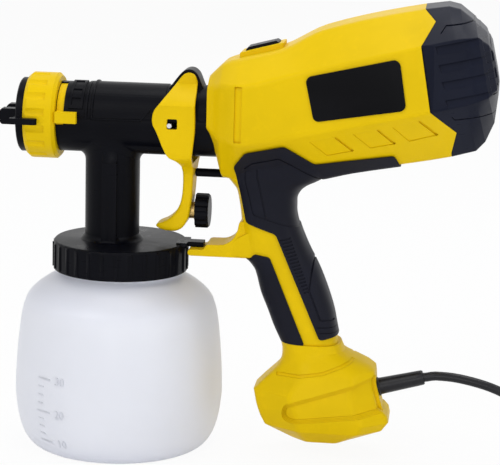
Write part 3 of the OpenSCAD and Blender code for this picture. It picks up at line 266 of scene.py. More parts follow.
def hull(points):
    """The closed skin round a few points."""
    bm = bmesh.new()
    for p in points:
        bm.verts.new(p)
    made = bmesh.ops.convex_hull(bm, input=bm.verts)
    spare = {g for key in ("geom_interior", "geom_unused") for g in made[key]
             if isinstance(g, bmesh.types.BMVert)}
    bmesh.ops.delete(bm, geom=list(spare), context="VERTS")
    bmesh.ops.recalc_face_normals(bm, faces=bm.faces)
    return bm


def meshed(name, bm):
    """A shape turned into a mesh."""
    mesh = bpy.data.meshes.new(name)
    bm.to_mesh(mesh)
    bm.free()
    return mesh


def taken(mesh, bm=None):
    """A mesh turned into a shape, or added to one."""
    bm = bm or bmesh.new()
    bm.from_mesh(mesh)
    bpy.data.meshes.remove(mesh)
    return bm


def linked(name, data):
    """An object in the scene."""
    obj = bpy.data.objects.new(name, data)
    bpy.context.scene.collection.objects.link(obj)
    return obj


def evaluated(obj):
    """The mesh that an object's modifiers or its text give."""
    shaped = obj.evaluated_get(bpy.context.evaluated_depsgraph_get())
    return bpy.data.meshes.new_from_object(shaped)


def merged(*shapes):
    """Several shapes in one."""
    out, *others = shapes
    for other in others:
        taken(meshed("part", other), out)
    return out


def other_side(bm):
    """The same shape on the other side of the middle plane."""
    out = bm.copy()
    out.transform(Matrix.Scale(-1, 4, (0, 1, 0)))
    bmesh.ops.reverse_faces(out, faces=out.faces)
    return out


def both(bm):
    """A shape and its mirror image together."""
    return merged(bm, other_side(bm))


def held(bm):
    """A working object for a shape, gone after the cut."""
    bmesh.ops.triangulate(bm, faces=bm.faces)
    return linked("work", meshed("work", bm))


def carve(bm, *steps):
    """Cuts, joins or keeps: steps are pairs of an operation and a closed shape."""
    body = held(bm)
    tools = []
    for operation, shape in steps:
        tools.append(held(shape))
        step = body.modifiers.new(operation, "BOOLEAN")
        step.operation, step.solver, step.object = operation, "EXACT", tools[-1]
    out = taken(evaluated(body))
    for obj in [body] + tools:
        mesh = obj.data
        bpy.data.objects.remove(obj)
        bpy.data.meshes.remove(mesh)
    if not out.faces:
        raise RuntimeError("a cut left nothing")
    return out


def cuts(*shapes):
    """Steps that cut shapes away."""
    return [("DIFFERENCE", shape) for shape in shapes]


def cut(bm, *shapes):
    """A shape with others cut away."""
    return carve(bm, *cuts(*shapes))


def piece(name, bm, body, nodes, slot, angle=30.0, bevel=0.0):
    """A finished piece: its object, its body, the nodes it stands for and its slot."""
    bm.transform(Matrix.Scale(MM, 4))
    obj = linked(name, meshed(name, bm))
    obj.data.materials.append(FINISHES[slot])
    obj.data.shade_smooth()
    if bevel:
        soft = obj.modifiers.new("soft edges", "BEVEL")
        soft.width, soft.segments, soft.limit_method = bevel * MM, 2, "ANGLE"
        soft.angle_limit = math.radians(32)
    else:
        obj.data.set_sharp_from_angle(angle=math.radians(angle))
    even = obj.modifiers.new("even shading", "WEIGHTED_NORMAL")
    even.keep_sharp = True
    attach(obj, body)
    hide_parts(*nodes)
    return obj


def node_shape(name):
    """A merged copy of a node's shape, in millimetres."""
    bm = bmesh.new()
    bm.from_mesh(frame["nodes"][name].data)
    bm.transform(Matrix.Scale(1 / MM, 4))
    bmesh.ops.remove_doubles(bm, verts=bm.verts, dist=10 * CLOSE)
    bmesh.ops.dissolve_limit(bm, angle_limit=math.radians(0.6), verts=bm.verts,
                             edges=bm.edges)
    return bm


def carried(rows, bevel=0.0):
    """Pieces that keep their node's shape: name, node, body and slot."""
    for name, node, body, slot in rows:
        piece(name, node_shape(node), body, [node], slot, 25, bevel)


# ---------- materials ----------
class Line:
    """One value among some nodes, worked with as a number."""

    def __init__(self, nodes, socket):
        self.nodes, self.socket = nodes, socket

    def maths(self, operation, *others):
        """A Math node on this value and others."""
        return self.nodes.node("ShaderNodeMath", dict(enumerate((self,) + others)),
                               operation=operation)

    def __add__(self, other):
        return self.maths("ADD", other)

    def __mul__(self, other):
        return self.maths("MULTIPLY", other)

    def __sub__(self, other):
        return self.maths("SUBTRACT", other)

    def __rsub__(self, other):
        return self.nodes.node("ShaderNodeMath", {0: other, 1: self}, operation="SUBTRACT")

    __radd__ = __add__
    __rmul__ = __mul__

    def low(self, other):
        """The lower of two values."""
        return self.maths("MINIMUM", other)

    def high(self, other):
        """The higher of two values."""
        return self.maths("MAXIMUM", other)

    def ease(self, start, end):
        """0 up to start, 1 from end, smooth between."""
        return self.nodes.node("ShaderNodeMapRange",
                               {"Value": self, "From Min": start, "From Max": end},
                               interpolation_type="SMOOTHSTEP")


class Nodes:
    """The nodes of a material or a world; any node comes from one method."""

    def __init__(self, owner):
        owner.use_nodes = True
        self.owner, self.tree = owner, owner.node_tree
        self.tree.nodes.clear()

    def node(self, kind, values=None, out=0, **settings):
        """A node, its settings and the values or links of its sockets."""
        made = self.tree.nodes.new(kind)
        for key, value in settings.items():
            setattr(made, key, value)
        for key, value in (values or {}).items():
            socket = made.inputs[key]
            if isinstance(value, Line):
                self.tree.links.new(value.socket, socket)
            elif socket.type == "RGBA" and len(value) == 3:
                socket.default_value = (*value, 1)
            else:
                socket.default_value = value
        return Line(self, made.outputs[out]) if made.outputs else None

    def seen(self):
        """1 where the camera sees it straight, mirrored or through a clear piece."""
        rays = [self.node("ShaderNodeLightPath", out=kind)
                for kind in ("Is Camera Ray", "Is Glossy Ray", "Is Transmission Ray")]
        return (rays[0] + rays[1] + rays[2]).low(1.0)


class Finish(Nodes):
    """A material as it is made."""

    def __init__(self, name):
        super().__init__(bpy.data.materials.new(name))
        self.place = self.node("ShaderNodeTexCoord", out="Object")

    def axis(self, name):
        """One coordinate of the object, in metres."""
        return self.node("ShaderNodeSeparateXYZ", {0: self.place}, out=name)

    def noise(self, scale, detail=2.0, roughness=0.5, stretch=None):
        """Noise on the object's coordinates."""
        place = self.place
        if stretch:
            place = self.node("ShaderNodeMapping", {"Vector": place, "Scale": stretch})
        return self.node("ShaderNodeTexNoise", {"Vector": place, "Scale": scale,
                                                "Detail": detail, "Roughness": roughness})

    def mix(self, factor, a, b):
        """Colour a turning into colour b."""
        return self.node("ShaderNodeMix", {0: factor, 6: a, 7: b}, out=2, data_type="RGBA")

    def soft_edges(self, radius=None):
        """The surface's normal with its edges rounded, as the panel says if no radius is given."""
        if radius is None:
            radius = bpy.context.scene.sprayer_sizes.edge
        return self.node("ShaderNodeBevel", {"Radius": radius}, samples=4)

    def bump(self, height, distance, strength=1.0, normal=None):
        """A Bump node's normal."""
        values = {"Height": height, "Distance": distance, "Strength": strength}
        if normal:
            values["Normal"] = normal
        return self.node("ShaderNodeBump", values, out="Normal")

    def surface(self, shader):
        """Sends a shader to the surface."""
        self.node("ShaderNodeOutputMaterial", {"Surface": shader})
        return self.owner

    def close(self, **sockets):
        """The shader itself; a socket's spaces are written as underscores."""
        return self.surface(self.node("ShaderNodeBsdfPrincipled",
                                      {key.replace("_", " "): value
                                       for key, value in sockets.items()}))


def tint(shade, factor):
    """A colour made lighter or darker."""
    return tuple(min(1.0, c * factor) for c in shade)


def chosen(name):
    """A colour from the panel."""
    return tuple(getattr(bpy.context.scene.sprayer_colours, name))


def moulded(name, shade, rough, grain, depth, patch, gloss):
    """Moulded plastic: fine grain, faint flow patches, rubbed and dusty places."""
    f = Finish(name)
    patches = f.noise(22, 3).ease(0.35, 0.7)
    specks = f.noise(160, 4, 0.6).ease(0.52, 0.75)
    base = f.mix(patches, shade, tint(shade, 1 - patch))
    base = f.mix(specks * 0.35, base, tint(shade, 1 + patch))
    height = f.noise(grain, 3, 0.6) + f.noise(grain / 9, 2) * 0.6
    scratches = f.noise(90, 3, 0.6, stretch=(1.0, 1.0, 9.0)).ease(0.6, 0.68)
    return f.close(Base_Color=base,
                   Roughness=rough + patches * 0.05 + specks * 0.04 - scratches * 0.06,
                   Specular_IOR_Level=gloss,
                   Normal=f.bump(height, depth, 0.35, f.soft_edges()))


def metal(name, shade, rough, stretch=(1.0, 1.0, 1.0), scale=500):
    """Machined or drawn metal with fine lines."""
    f = Finish(name)
    lines = f.noise(scale, 4, 0.6, stretch=stretch)
    stains = f.noise(60, 3).ease(0.4, 0.75)
    return f.close(Base_Color=f.mix(stains * 0.5, shade, tint(shade, 0.72)), Metallic=1.0,
                   Roughness=rough + lines * 0.14 + stains * 0.08,
                   Normal=f.bump(lines, 0.00002, 0.4, f.soft_edges(0.0002)))


def yellow_plastic():
    """Satin yellow of the housing, the base, the trigger, the nut and the pattern ring."""
    return moulded("yellow plastic", chosen("yellow"), 0.36, 1500, 0.00003, 0.07, 0.07)


def black_plastic():
    """Satin black of the gun head, the air cap, the knob and the button."""
    return moulded("black plastic", chosen("black"), 0.30, 1300, 0.00004, 0.25, 0.06)


def navy_plastic():
    """Blue-black of the rear cover."""
    return moulded("navy plastic", chosen("navy"), 0.32, 1100, 0.00005, 0.2, 0.08)


def grip_rubber():
    """Soft rubber with a pebbled skin and rubbed-in dust."""
    f = Finish("grip rubber")
    shade = chosen("rubber")
    dust = f.noise(45, 4).ease(0.4, 0.8)
    pebbles = f.node("ShaderNodeTexVoronoi", {"Vector": f.place, "Scale": 1400}, out="Distance")
    return f.close(Base_Color=f.mix(dust * 0.6, shade, tint(shade, 1.5)),
                   Roughness=0.42 + dust * 0.14, Specular_IOR_Level=0.11,
                   Normal=f.bump(pebbles, 0.00005, 0.35, f.soft_edges()))


def cord_rubber():
    """The cord's jacket, a little shinier than the grip."""
    f = Finish("cord rubber")
    shade = chosen("cord")
    dust = f.noise(120, 4).ease(0.4, 0.8)
    return f.close(Base_Color=f.mix(dust, shade, tint(shade, 1.7)),
                   Roughness=0.30 + dust * 0.12, Specular_IOR_Level=0.28,
                   Normal=f.bump(f.noise(900, 3), 0.00004, 0.4))


def badge_black():
    """The bare badge: smooth, with faint smears."""
    f = Finish("badge gloss")
    shade = chosen("badge")
    smears = f.noise(38, 4).ease(0.45, 0.8)
    return f.close(Base_Color=f.mix(smears, shade, tint(shade, 1.5)),
                   Roughness=0.16 + smears * 0.10, Specular_IOR_Level=0.07,
                   Normal=f.bump(f.noise(300, 2), 0.00001, 0.3, f.soft_edges()))


def cup_plastic():
    """Milky plastic, with painted shade at its upper curve and at the foot, where the wall turns
    away from the light.
    """
    f = Finish("milky cup")
    shade = chosen("cup")
    up = f.axis("Z")
    # Painted shade: the upper curve and the foot are mixed towards a darker bluish grey
    shoulder_shade = up.ease(0.088, 0.104)
    foot = 1 - up.ease(0.0, 0.016)
    cloud = f.noise(26, 3).ease(0.35, 0.7)
    base = f.mix(cloud * 0.25, shade, tint(shade, 0.94))
    base = f.mix((shoulder_shade * 0.5).high(foot * 0.35), base,
                 (shade[0] * 0.86, shade[1] * 0.87, shade[2] * 0.92))
    return f.close(Base_Color=base, Roughness=0.36 + cloud * 0.08,
                   Subsurface_Weight=0.35, Subsurface_Radius=(1.0, 1.0, 1.0),
                   Subsurface_Scale=0.006, IOR=1.5,
                   Normal=f.bump(f.noise(420, 3), 0.00003, 0.3))


def filter_sponge():
    """The intake filter's open foam."""
    f = Finish("filter sponge")
    pores = f.node("ShaderNodeTexVoronoi", {"Vector": f.place, "Scale": 900}, out="Distance")
    return f.close(Base_Color=f.mix(pores.ease(0.1, 0.5), (0.02, 0.02, 0.022),
                                    (0.07, 0.07, 0.075)),
                   Roughness=0.9, Normal=f.bump(pores, 0.0006))


def clear_tube():
    """Cloudy plastic of the suction tube and the needle's packing."""
    f = Finish("clear tube")
    cloud = f.noise(80, 3)
    return f.close(Base_Color=f.mix(cloud, (0.72, 0.75, 0.78), (0.86, 0.88, 0.9)),
                   Roughness=0.18 + cloud * 0.12, Transmission_Weight=0.6, IOR=1.45,
                   Normal=f.bump(f.noise(700, 2), 0.00002, 0.3))


def magnet_ferrite():
    """The magnets' grey grit."""
    f = Finish("magnet ferrite")
    grit = f.noise(800, 4, 0.7)
    return f.close(Base_Color=f.mix(grit, (0.035, 0.034, 0.034), (0.08, 0.078, 0.075)),
                   Roughness=0.6 + grit * 0.2, Normal=f.bump(grit, 0.0001))


def copper_winding():
    """Lacquered wire, strand beside strand."""
    f = Finish("copper winding")
    strands = f.node("ShaderNodeTexWave", {"Vector": f.place, "Scale": 900, "Distortion": 1.5},
                     wave_type="BANDS", bands_direction="DIAGONAL")
    return f.close(Base_Color=f.mix(strands, (0.30, 0.10, 0.04), (0.66, 0.28, 0.12)),
                   Metallic=0.9, Roughness=0.36 + strands * 0.1,
                   Normal=f.bump(strands, 0.0002))


def polished_steel():
    """Pins, the needle, the motor's shaft and its bearings."""
    return metal("bright steel", chosen("steel"), 0.22, (1, 1, 12))


def zinc_steel():
    """Screws, springs, clips and the motor's can."""
    return metal("zinc steel", tint(chosen("steel"), 0.9), 0.36, scale=300)


def brass_metal():
    """The flow stud, the packing nut, the brush holders and the plug's blades."""
    return metal("turned brass", chosen("brass"), 0.26, (14, 1, 1))


def cast_aluminium():
    """The nozzle and the impeller."""
    return metal("cast aluminium", (0.62, 0.63, 0.65), 0.42, scale=700)


MAKERS = (yellow_plastic, black_plastic, navy_plastic, grip_rubber, cord_rubber, badge_black,
          cup_plastic, filter_sponge, clear_tube, magnet_ferrite, copper_winding,
          polished_steel, zinc_steel, brass_metal, cast_aluminium)
# The material of each slot in the record
FINISHES = {}


def make_finishes():
    """Fills FINISHES; gaskets are of the grip's rubber."""
    for maker in MAKERS:
        FINISHES[maker.__name__] = maker()
    FINISHES["gasket_rubber"] = FINISHES["grip_rubber"]


# ---------- forms of the housing, the handle and the cover ----------
# Half the housing's width at its widest
BODY_WIDE = 50.5


def section(place, w, ht, hb, cu, cl, tw, bw, g, crease):
    """Eight corners with rounded creases; place(y, h) puts a corner in space.

    w is the half width, ht and hb are the heights of the top and the bottom, cu and cl those
    of the side corners, tw and bw the half widths of the top and the bottom, g the growth.
    """
    corners = [(w + g, cl - 0.4 * g), (w + g, cu + 0.4 * g), (tw, ht + g), (-tw, ht + g),
               (-w - g, cu + 0.4 * g), (-w - g, cl - 0.4 * g), (-bw, hb - g), (bw, hb - g)]
    radii = [crease, crease, crease * 1.4, crease * 1.4, crease, crease, crease, crease]
    return curved([place(y, h) for y, h in corners], radii)


def body_form(g, crease=4.0):
    """The housing's body grown by g; where it is much smaller, it starts further back."""
    def upright(x):
        """Places a corner in the upright section at x."""
        return lambda y, h: Vector((x, y, h))

    def tilted(s):
        """Places a corner in the section across the fan's axis at s."""
        return lambda y, h: fan(s, y, h)

    rows = [(56.5, upright(56.5), 25, 241, 206, 234, 210, 13, 13),
            (61, upright(61), 28.5, 245.5, 193, 236, 207, 15, 14),
            (66, upright(66), 34, 249.8, 178, 238, 205, 17, 15),
            (78, upright(78), 43.5, 253.5, 177, 238.7, 203.5, 19, 16),
            (109, tilted(-78), 45.2, 38, -44.5, 23.5, -12.5, 20, 16),
            (136.3, tilted(-50), 46.9, 44.8, -44.5, 24.8, -13, 20, 16),
            (196.2, tilted(11.5), BODY_WIDE, 45.6, -46.6, 26.5, -12.5, 20, 16),
            (211.3, tilted(27), BODY_WIDE, 44.4, -45.8, 26.8, -12, 19, 16)]
    smaller = g < -1
    if smaller:
        rows = [(68.5, upright(68.5), 36, 249.8, 178, 238, 205, 17, 15)] + rows[3:]
    rings = []
    for i, (x, place, *sizes) in enumerate(rows):
        grow = g if i or smaller else min(g, 0) * 0.5
        rings.append(section(place, *sizes, grow, crease if x < 130 else crease * 0.6))
    return loft(through(rings, [row[0] for row in rows], 5))


def dense(ring, corner=5, extra=5):
    """A section's ring with more places on the straight sides between its corners."""
    out = []
    for i, p in enumerate(ring):
        out.append(p)
        if i % corner == corner - 1:
            q = ring[(i + 1) % len(ring)]
            out += [p.lerp(q, k / (extra + 1)) for k in range(1, extra + 1)]
    return out


# The rear cover, row by row: the place along the fan's axis, then the section's sizes
COVER_ROWS = [(1.5, 49.9, 45.3, -46.3, 26.3, -12.6, 20, 16),
              (11.5, BODY_WIDE, 45.6, -46.6, 26.5, -12.5, 20, 16),
              (27, BODY_WIDE, 44.4, -45.8, 26.8, -12, 19, 16),
              (33.5, 50.1, 41.4, -41.4, 26.5, -11.4, 18, 15),
              (41, 47.9, 32.5, -31, 25.6, -10.6, 17, 14),
              (46.5, 40.5, 24.5, -14.5, 19.5, -8.6, 16, 13),
              (48.5, 35.5, 17.5, -7, 14, -3.5, 14, 12)]


def cover_form(g, crease=1.3, last=48.5):
    """The rear cover grown by g, as far back as 'last', with flat facets."""
    rows = [row for row in COVER_ROWS if row[0] <= last]
    fine = [[p + (q - p) * k / 3 for p, q in zip(a, b)]
            for a, b in zip(rows, rows[1:]) for k in range(3)] + rows[-1:]
    return loft([dense(section(lambda y, h, s=row[0]: fan(s, y, h), *row[1:], g, crease))
                 for row in fine])


def between(rows, at):
    """The second value of the rows where the first is 'at'."""
    for (low, start, *_), (high, end, *_) in zip(rows, rows[1:]):
        if low <= at <= high and high > low:
            return start + (end - start) * (at - low) / (high - low)
    raise ValueError("no row there")


def level(z, front, back, half, g, count=56):
    """A level ring from front to back, grown by g."""
    mid, long = (front + back) / 2, (back - front) / 2 + g

    def power(v):
        """Fills the oval out towards a rectangle."""
        return math.copysign(abs(v) ** 0.72, v)

    return [Vector((mid + long * power(math.cos(2 * math.pi * i / count)),
                    (half + g) * power(math.sin(2 * math.pi * i / count)), z))
            for i in range(count)]


# The handle, row by row: height, front, back and half width
GRIP_SIDE = [(73.5, 105.5, 140.6, 16.5), (84, 100.5, 138.2, 16.8), (93, 97, 136.3, 17),
             (105, 92, 132.4, 17.3), (118.5, 88.2, 126.9, 17.6), (124, 84.3, 124.2, 17.7),
             (128, 80, 122.1, 17.8), (131, 79.6, 120.4, 17.8), (143, 78.5, 114.8, 18),
             (150, 77.5, 112.3, 18.4), (157, 76.7, 110.9, 19), (164, 75.5, 110.8, 19.8),
             (170, 74, 113.4, 20.6), (174, 71, 118, 21.6), (178, 67.8, 126, 23),
             (184, 66.8, 133, 25), (190, 69, 137, 27)]


def grip_form(g):
    """The handle grown by g."""
    last = len(GRIP_SIDE) - 1
    rings = [level(z + (g / 2 if i == last else 0), a, b, half, g)
             for i, (z, a, b, half) in enumerate(GRIP_SIDE)]
    return loft(through(rings, [row[0] for row in GRIP_SIDE], 3))


# The line where the rear cover meets the body, along the fan's axis and above it
SEAM = [(10, 60), (11, 48), (18, 38), (7.5, 26.8), (5.5, -12.7), (18, -30), (12, -44),
        (11, -60)]


def side_of_seam(rear, gap=0.0):
    """A slab before or behind the line where the rear cover meets the body."""
    line = [(s + gap, h) for s, h in SEAM]
    far = 90 if rear else -260
    return plate(fan_xz(line + [(far, -60), (far, 60)]), -OUT, OUT)


def sunk(outlines, depth, forms, y0=-OUT, y1=OUT, radius=0.0):
    """A cutter that sinks outlines into the skin of forms, 'depth' deep."""
    shape = merged(*[plate(outline, y0, y1, radius) for outline in outlines])
    return cut(shape, *[form(-depth) for form in forms])


def strip(points, width):
    """A thin outline that follows a line of places."""
    left, right = [], []
    for i, p in enumerate(points):
        a, b = Vector(points[max(i - 1, 0)]), Vector(points[min(i + 1, len(points) - 1)])
        side = (b - a).normalized()
        side = Vector((-side.y, side.x)) * width / 2
        left.append(tuple(Vector(p) + side))
        right.append(tuple(Vector(p) - side))
    return left + right[::-1]


# ---------- operators, one for each piece or group of like pieces ----------
class SPRAYER_OT_stage(bpy.types.Operator):
    """Add the floor, the camera, the lamps and the world"""
    bl_idname = "sprayer.stage"
    bl_label = "Stage"

    def execute(self, context):
        scene = context.scene
        scene.view_settings.view_transform = "Standard"
        camera = bpy.data.cameras.new("camera")
        camera.lens, camera.sensor_width = 144, 36
        camera.clip_start, camera.clip_end = 0.05, 50
        eye = linked("camera", camera)
        right = Vector((0.993493, 0.111245, 0.024491))
        up = Vector((-0.046714, 0.201807, 0.978315))
        back = Vector((0.10389, -0.97309, 0.20569))
        turn = Matrix((right, up, back)).transposed().to_4x4()
        eye.matrix_world = Matrix.Translation((0.213617, -1.228492, 0.400514)) @ turn
        scene.camera = eye

        bm = bmesh.new()
        bmesh.ops.create_grid(bm, x_segments=1, y_segments=1, size=9.0)
        floor = linked("floor", meshed("floor", bm))
        f = Finish("pale floor")
        matt = f.node("ShaderNodeBsdfDiffuse", {"Color": (0.92, 0.92, 0.92)})
        white = f.node("ShaderNodeEmission", {"Color": (1, 1, 1), "Strength": 1.0})
        mixed = f.node("ShaderNodeMixShader", {0: f.seen() * 0.93, 1: matt, 2: white})
        floor.data.materials.append(f.surface(mixed))

        room = Nodes(bpy.data.worlds.new("soft room"))
        scene.world = room.owner
        dim = room.node("ShaderNodeBackground", {"Color": (0.95, 0.97, 1.0), "Strength": 0.5})
        bright = room.node("ShaderNodeBackground", {"Color": (1, 1, 1), "Strength": 1.0})
        mixed = room.node("ShaderNodeMixShader", {0: room.seen(), 1: dim, 2: bright})
        room.node("ShaderNodeOutputWorld", {"Surface": mixed})

        # Name, place, watts, size and colour
        lamps = [("key", (-0.9, -1.5, 1.7), 12.0, 1.3, (1.0, 0.99, 0.97)),
                 ("fill", (1.6, -1.3, 0.7), 6.5, 1.2, (0.96, 0.98, 1.0)),
                 ("low", (0.1, -1.9, 0.35), 3.5, 0.7, (1.0, 1.0, 1.0)),
                 ("top", (0.3, 0.3, 1.9), 14.0, 1.2, (1.0, 1.0, 1.0))]
        for name, place, watts, size, shade in lamps:
            lamp = bpy.data.lights.new(name, "AREA")
            lamp.energy, lamp.size, lamp.color = watts, size, shade
            obj = linked(name, lamp)
            obj.location = place
            aim = Vector((0.08, 0, 0.14)) - Vector(place)
            obj.rotation_euler = aim.to_track_quat("-Z", "Y").to_euler()
        return {"FINISHED"}


# The strain relief's foot and the rise of its axis
RELIEF_AT, RELIEF_RISE = (161.5, 0, 43.3), math.radians(15)
# The cord: the free stretch, the flat coil and the tail that ends in the plug
STRETCH = [(194.82, 0, 52.23), (203, 0, 53.6), (214, 0, 53.2), (226, 0, 51.2),
           (238, 0, 48), (250, 0, 43), (262, 0, 36), (274, 0, 27.6), (286, 0, 19),
           (298, 0, 11.4), (309, 0, 6), (318, 0, 3.5), (328, 0, 3)]
TAIL = [(334, 95.2, 9.5), (332, 95.2, 9.5), (326.5, 95.2, 9.031), (321, 95.2, 8),
        (315.5, 95.2, 6.969), (310, 95.2, 6.5), (306, 95.2, 6.5)]
# The coil's middle, its turns, the places on a turn, its least radius and its pitch
COIL_X, COIL_Y, COIL_Z = 340, 47.6, 3
COIL_TURNS, COIL_STEPS = 7.5, 24
COIL_INNER, COIL_PITCH = 23.225, 6.5


def coil_place(i):
    """A place on the coil, which winds inward on the floor and outward on top of that."""
    t = i / COIL_STEPS - COIL_TURNS / 2
    a = math.radians(360 / COIL_STEPS * i - 90)
    r = COIL_INNER + COIL_PITCH * abs(t)
    k = min(max(2 * t + 0.5, 0.0), 1.0)
    return (COIL_X + r * math.cos(a), COIL_Y + r * math.sin(a),
            COIL_Z + COIL_PITCH * k * k * (3 - 2 * k))


def on_relief(bm):
    """Lays a turned shape's axis on that of the strain relief."""
    bm.transform(Matrix.Translation(RELIEF_AT)
                 @ Matrix.Rotation(math.pi / 2 - RELIEF_RISE, 4, "Y"))
    return bm


class SPRAYER_OT_cord(bpy.types.Operator):
    """Add the mains cord, its strain relief and its plug"""
    bl_idname = "sprayer.cord"
    bl_label = "Cord and plug"

    def execute(self, context):
        coil = [coil_place(i) for i in range(round(COIL_TURNS * COIL_STEPS) + 1)]
        route = STRETCH + coil + TAIL
        wide = context.scene.sprayer_sizes.cord
        curve = bpy.data.curves.new("mains_cord", "CURVE")
        curve.dimensions, curve.bevel_depth, curve.bevel_resolution = "3D", wide / 2, 4
        curve.resolution_u, curve.use_fill_caps = 3, True
        spline = curve.splines.new("BEZIER")
        spline.bezier_points.add(len(route) - 1)
        route = [Vector(place) * MM for place in route]
        for i, (point, place) in enumerate(zip(spline.bezier_points, route)):
            came = place - route[max(i - 1, 0)]
            goes = route[min(i + 1, len(route) - 1)] - place
            along = (came.normalized() + goes.normalized()).normalized()
            if came.z * goes.z <= 0:
                along.z = 0.0
            point.handle_left_type = point.handle_right_type = "FREE"
            point.co = place
            point.handle_left = place - along * came.length / 3
            point.handle_right = place + along * goes.length / 3
        curve.materials.append(FINISHES["cord_rubber"])
        cord = linked("mains_cord", curve)
        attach(cord, "housing")
        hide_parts("cord_stretch", "cord_coil", "cord_tail")

        plug = spun([(0, 0), (3.8, 0), (4.1, 1), (5.4, 7), (5.6, 8.4), (0, 8.4)], 32)
        plug.transform(Matrix.Translation(TAIL[-1]) @ Matrix.Rotation(-math.pi / 2, 4, "Y"))
        neck = block((292, 86.2, 1), (299, 104.2, 12), 1.6, 3)
        head = block((274, 83.2, 0), (293, 107.2, 13), 2.2, 4)
        ribs = [block((x, 86.0, 0.8), (x + 1.0, 104.4, 12.2), 0.4) for x in (294.0, 296.2)]
        plug = piece("plug", merged(plug, neck, head, *ribs), "housing", ["plug_body"],
                     "cord_rubber")
        blades = piece("plug_pins", node_shape("plug_blades"), "housing", ["plug_blades"],
                       "brass_metal")
        total = sum((b - a).length for a, b in zip(route, route[1:]))

        outline = [(0, -8), (4.6, -8), (4.6, 3.2), (6.0, 3.8), (6.0, 6.4), (5.4, 7.0),
                   (5.3, 9.0), (5.15, 16.0), (4.95, 24.0), (4.8, 31.5), (4.7, 34.4),
                   (4.2, 35.2), (0, 35.2)]
        piece("strain_sleeve", on_relief(spun(outline, 40)), "housing", ["strain_relief"],
              "cord_rubber")
        return {"FINISHED"}


CUP_WALL = 2.2
# The marks are laid round this radius, with their backs a little in the wall
CUP_R, MARK_ROOT = 66.0, 0.4
# Heights of the numbers and of the short lines, and where each stands round the cup
NUMBERS = (("10", 12.7), ("20", 32.3), ("30", 53.5))
TICKS = (17.6, 22.5, 27.4, 37.6, 42.9, 48.2)
NUMBER_AT, DASH_AT, TICK_AT = -114.5, -125.5, -127.5


def cup_line():
    """The cup's outer profile from the foot to the rim."""
    line = [(0, 0), (48.5, 0)]
    for a, b, c, n in (((48.5, 0), (50.5, 0), (52.6, 0.4), 3),
                       ((52.6, 0.4), (64.3, 3.4), (66.3, 34), 16),
                       ((66.3, 34), (66.5, 50), (64.2, 72), 8),
                       ((64.2, 72), (62.6, 88), (60.3, 93), 5),
                       ((60.3, 93), (58.4, 101), (41.7, 110), 10),
                       ((41.7, 110), (38.5, 111.6), (38.5, 113.5), 4)):
        a, b, c = Vector(a), Vector(b), Vector(c)
        line += [tuple(a * (1 - t) ** 2 + b * (2 * t * (1 - t)) + c * t * t)
                 for t in (k / n for k in range(1, n + 1))]
    return line + [(38.5, 127.2), (38.2, 127.5)]


def cup_radius(z):
    """The cup's outer radius at a height."""
    return between([(up, r) for r, up in cup_line()[1:]], z)


def wrapped(bm, angle, z0, stand):
    """Lays a flat mark with its back at z = 0 on the cup's side, centred at an angle."""
    for vert in bm.verts:
        x, y, depth = vert.co
        z = z0 + y
        r = cup_radius(z) + (stand if depth > 0 else -MARK_ROOT)
        a = math.radians(angle) + x / CUP_R
        vert.co = (r * math.cos(a), r * math.sin(a), z)
    return bm


def digits(text, high):
    """Plain numbers as a flat shape, centred, 'high' tall."""
    curve = bpy.data.curves.new("digits", "FONT")
    curve.body, curve.size, curve.extrude = text, high / 0.72, 0.5
    curve.align_x = "CENTER"
    obj = linked("digits", curve)
    bm = taken(evaluated(obj))
    bpy.data.objects.remove(obj)
    bpy.data.curves.remove(curve)
    bmesh.ops.remove_doubles(bm, verts=bm.verts, dist=CLOSE)
    bmesh.ops.translate(bm, verts=bm.verts, vec=(0, -high / 2, 0))
    return bm


class SPRAYER_OT_cup(bpy.types.Operator):
    """Add the milky paint cup with its level marks"""
    bl_idname = "sprayer.cup"
    bl_label = "Cup"

    def execute(self, context):
        stand = context.scene.sprayer_sizes.emboss / MM
        outer = cup_line()
        inner = [(max(r - CUP_WALL, 0), max(z, CUP_WALL)) for r, z in outer[1:-1] if z > 0.3]
        inner = [place for place in inner if place[1] > CUP_WALL + 0.2]
        inner = [(0, CUP_WALL), (46.5, CUP_WALL)] + inner + [(36.6, 127.5)]
        shapes = [spun(outer + inner[::-1], 112)]
        for text, z in NUMBERS:
            dash = block((-5.5, -0.45, 0), (5.5, 0.45, 0.5))
            shapes += [wrapped(digits(text, 5.3), NUMBER_AT, z, stand),
                       wrapped(dash, DASH_AT, z, stand)]
        for z in TICKS:
            tick = block((-2.4, -0.35, 0), (2.4, 0.35, 0.5))
            shapes.append(wrapped(tick, TICK_AT, z, stand))
        piece("paint_cup", merged(*shapes), "cup", ["cup"], "cup_plastic", 28)
        return {"FINISHED"}


def arc_band(x0, x1, low, high, r0, r1, steps=20):
    """A band round the barrel's axis, its angles in degrees from the near side upward."""
    rings = []
    for k in range(steps + 1):
        a = math.radians(low + (high - low) * k / steps)
        rings.append([Vector((x, -r * math.cos(a), BARREL_Z + r * math.sin(a)))
                      for x, r in ((x0, r0), (x1, r0), (x1, r1), (x0, r1))])
    return loft(rings)


# The fillet under the barrel: places out from the stem and up from the barrel
FILLET = ((-1.2, 1.2), (3.4, 0.35), (1.7, -0.75), (0.75, -1.9), (0.2, -3.3), (0.03, -4.6),
          (-1.2, -4.6))
FIN = [(23.4, 221), (28.6, 229), (36.6, 239.8), (40, 243.4), (44.5, 244), (48.3, 241.2),
       (50.6, 235.2), (55, 225), (55, 221)]


def stem_fillet(steps=72):
    """The curve that leads from the stem into the barrel's underside."""
    rings = []
    for k in range(steps):
        a = math.tau * k / steps
        ring = []
        for out, up in FILLET:
            x, y = (STEM_R + out) * math.cos(a), (STEM_R + out) * math.sin(a)
            under = BARREL_Z - math.sqrt(max(BARREL_R ** 2 - y * y, 30.0))
            ring.append(Vector((STEM_X + x, y, under + up)))
        rings.append(ring)
    return loft(rings, loop=True)


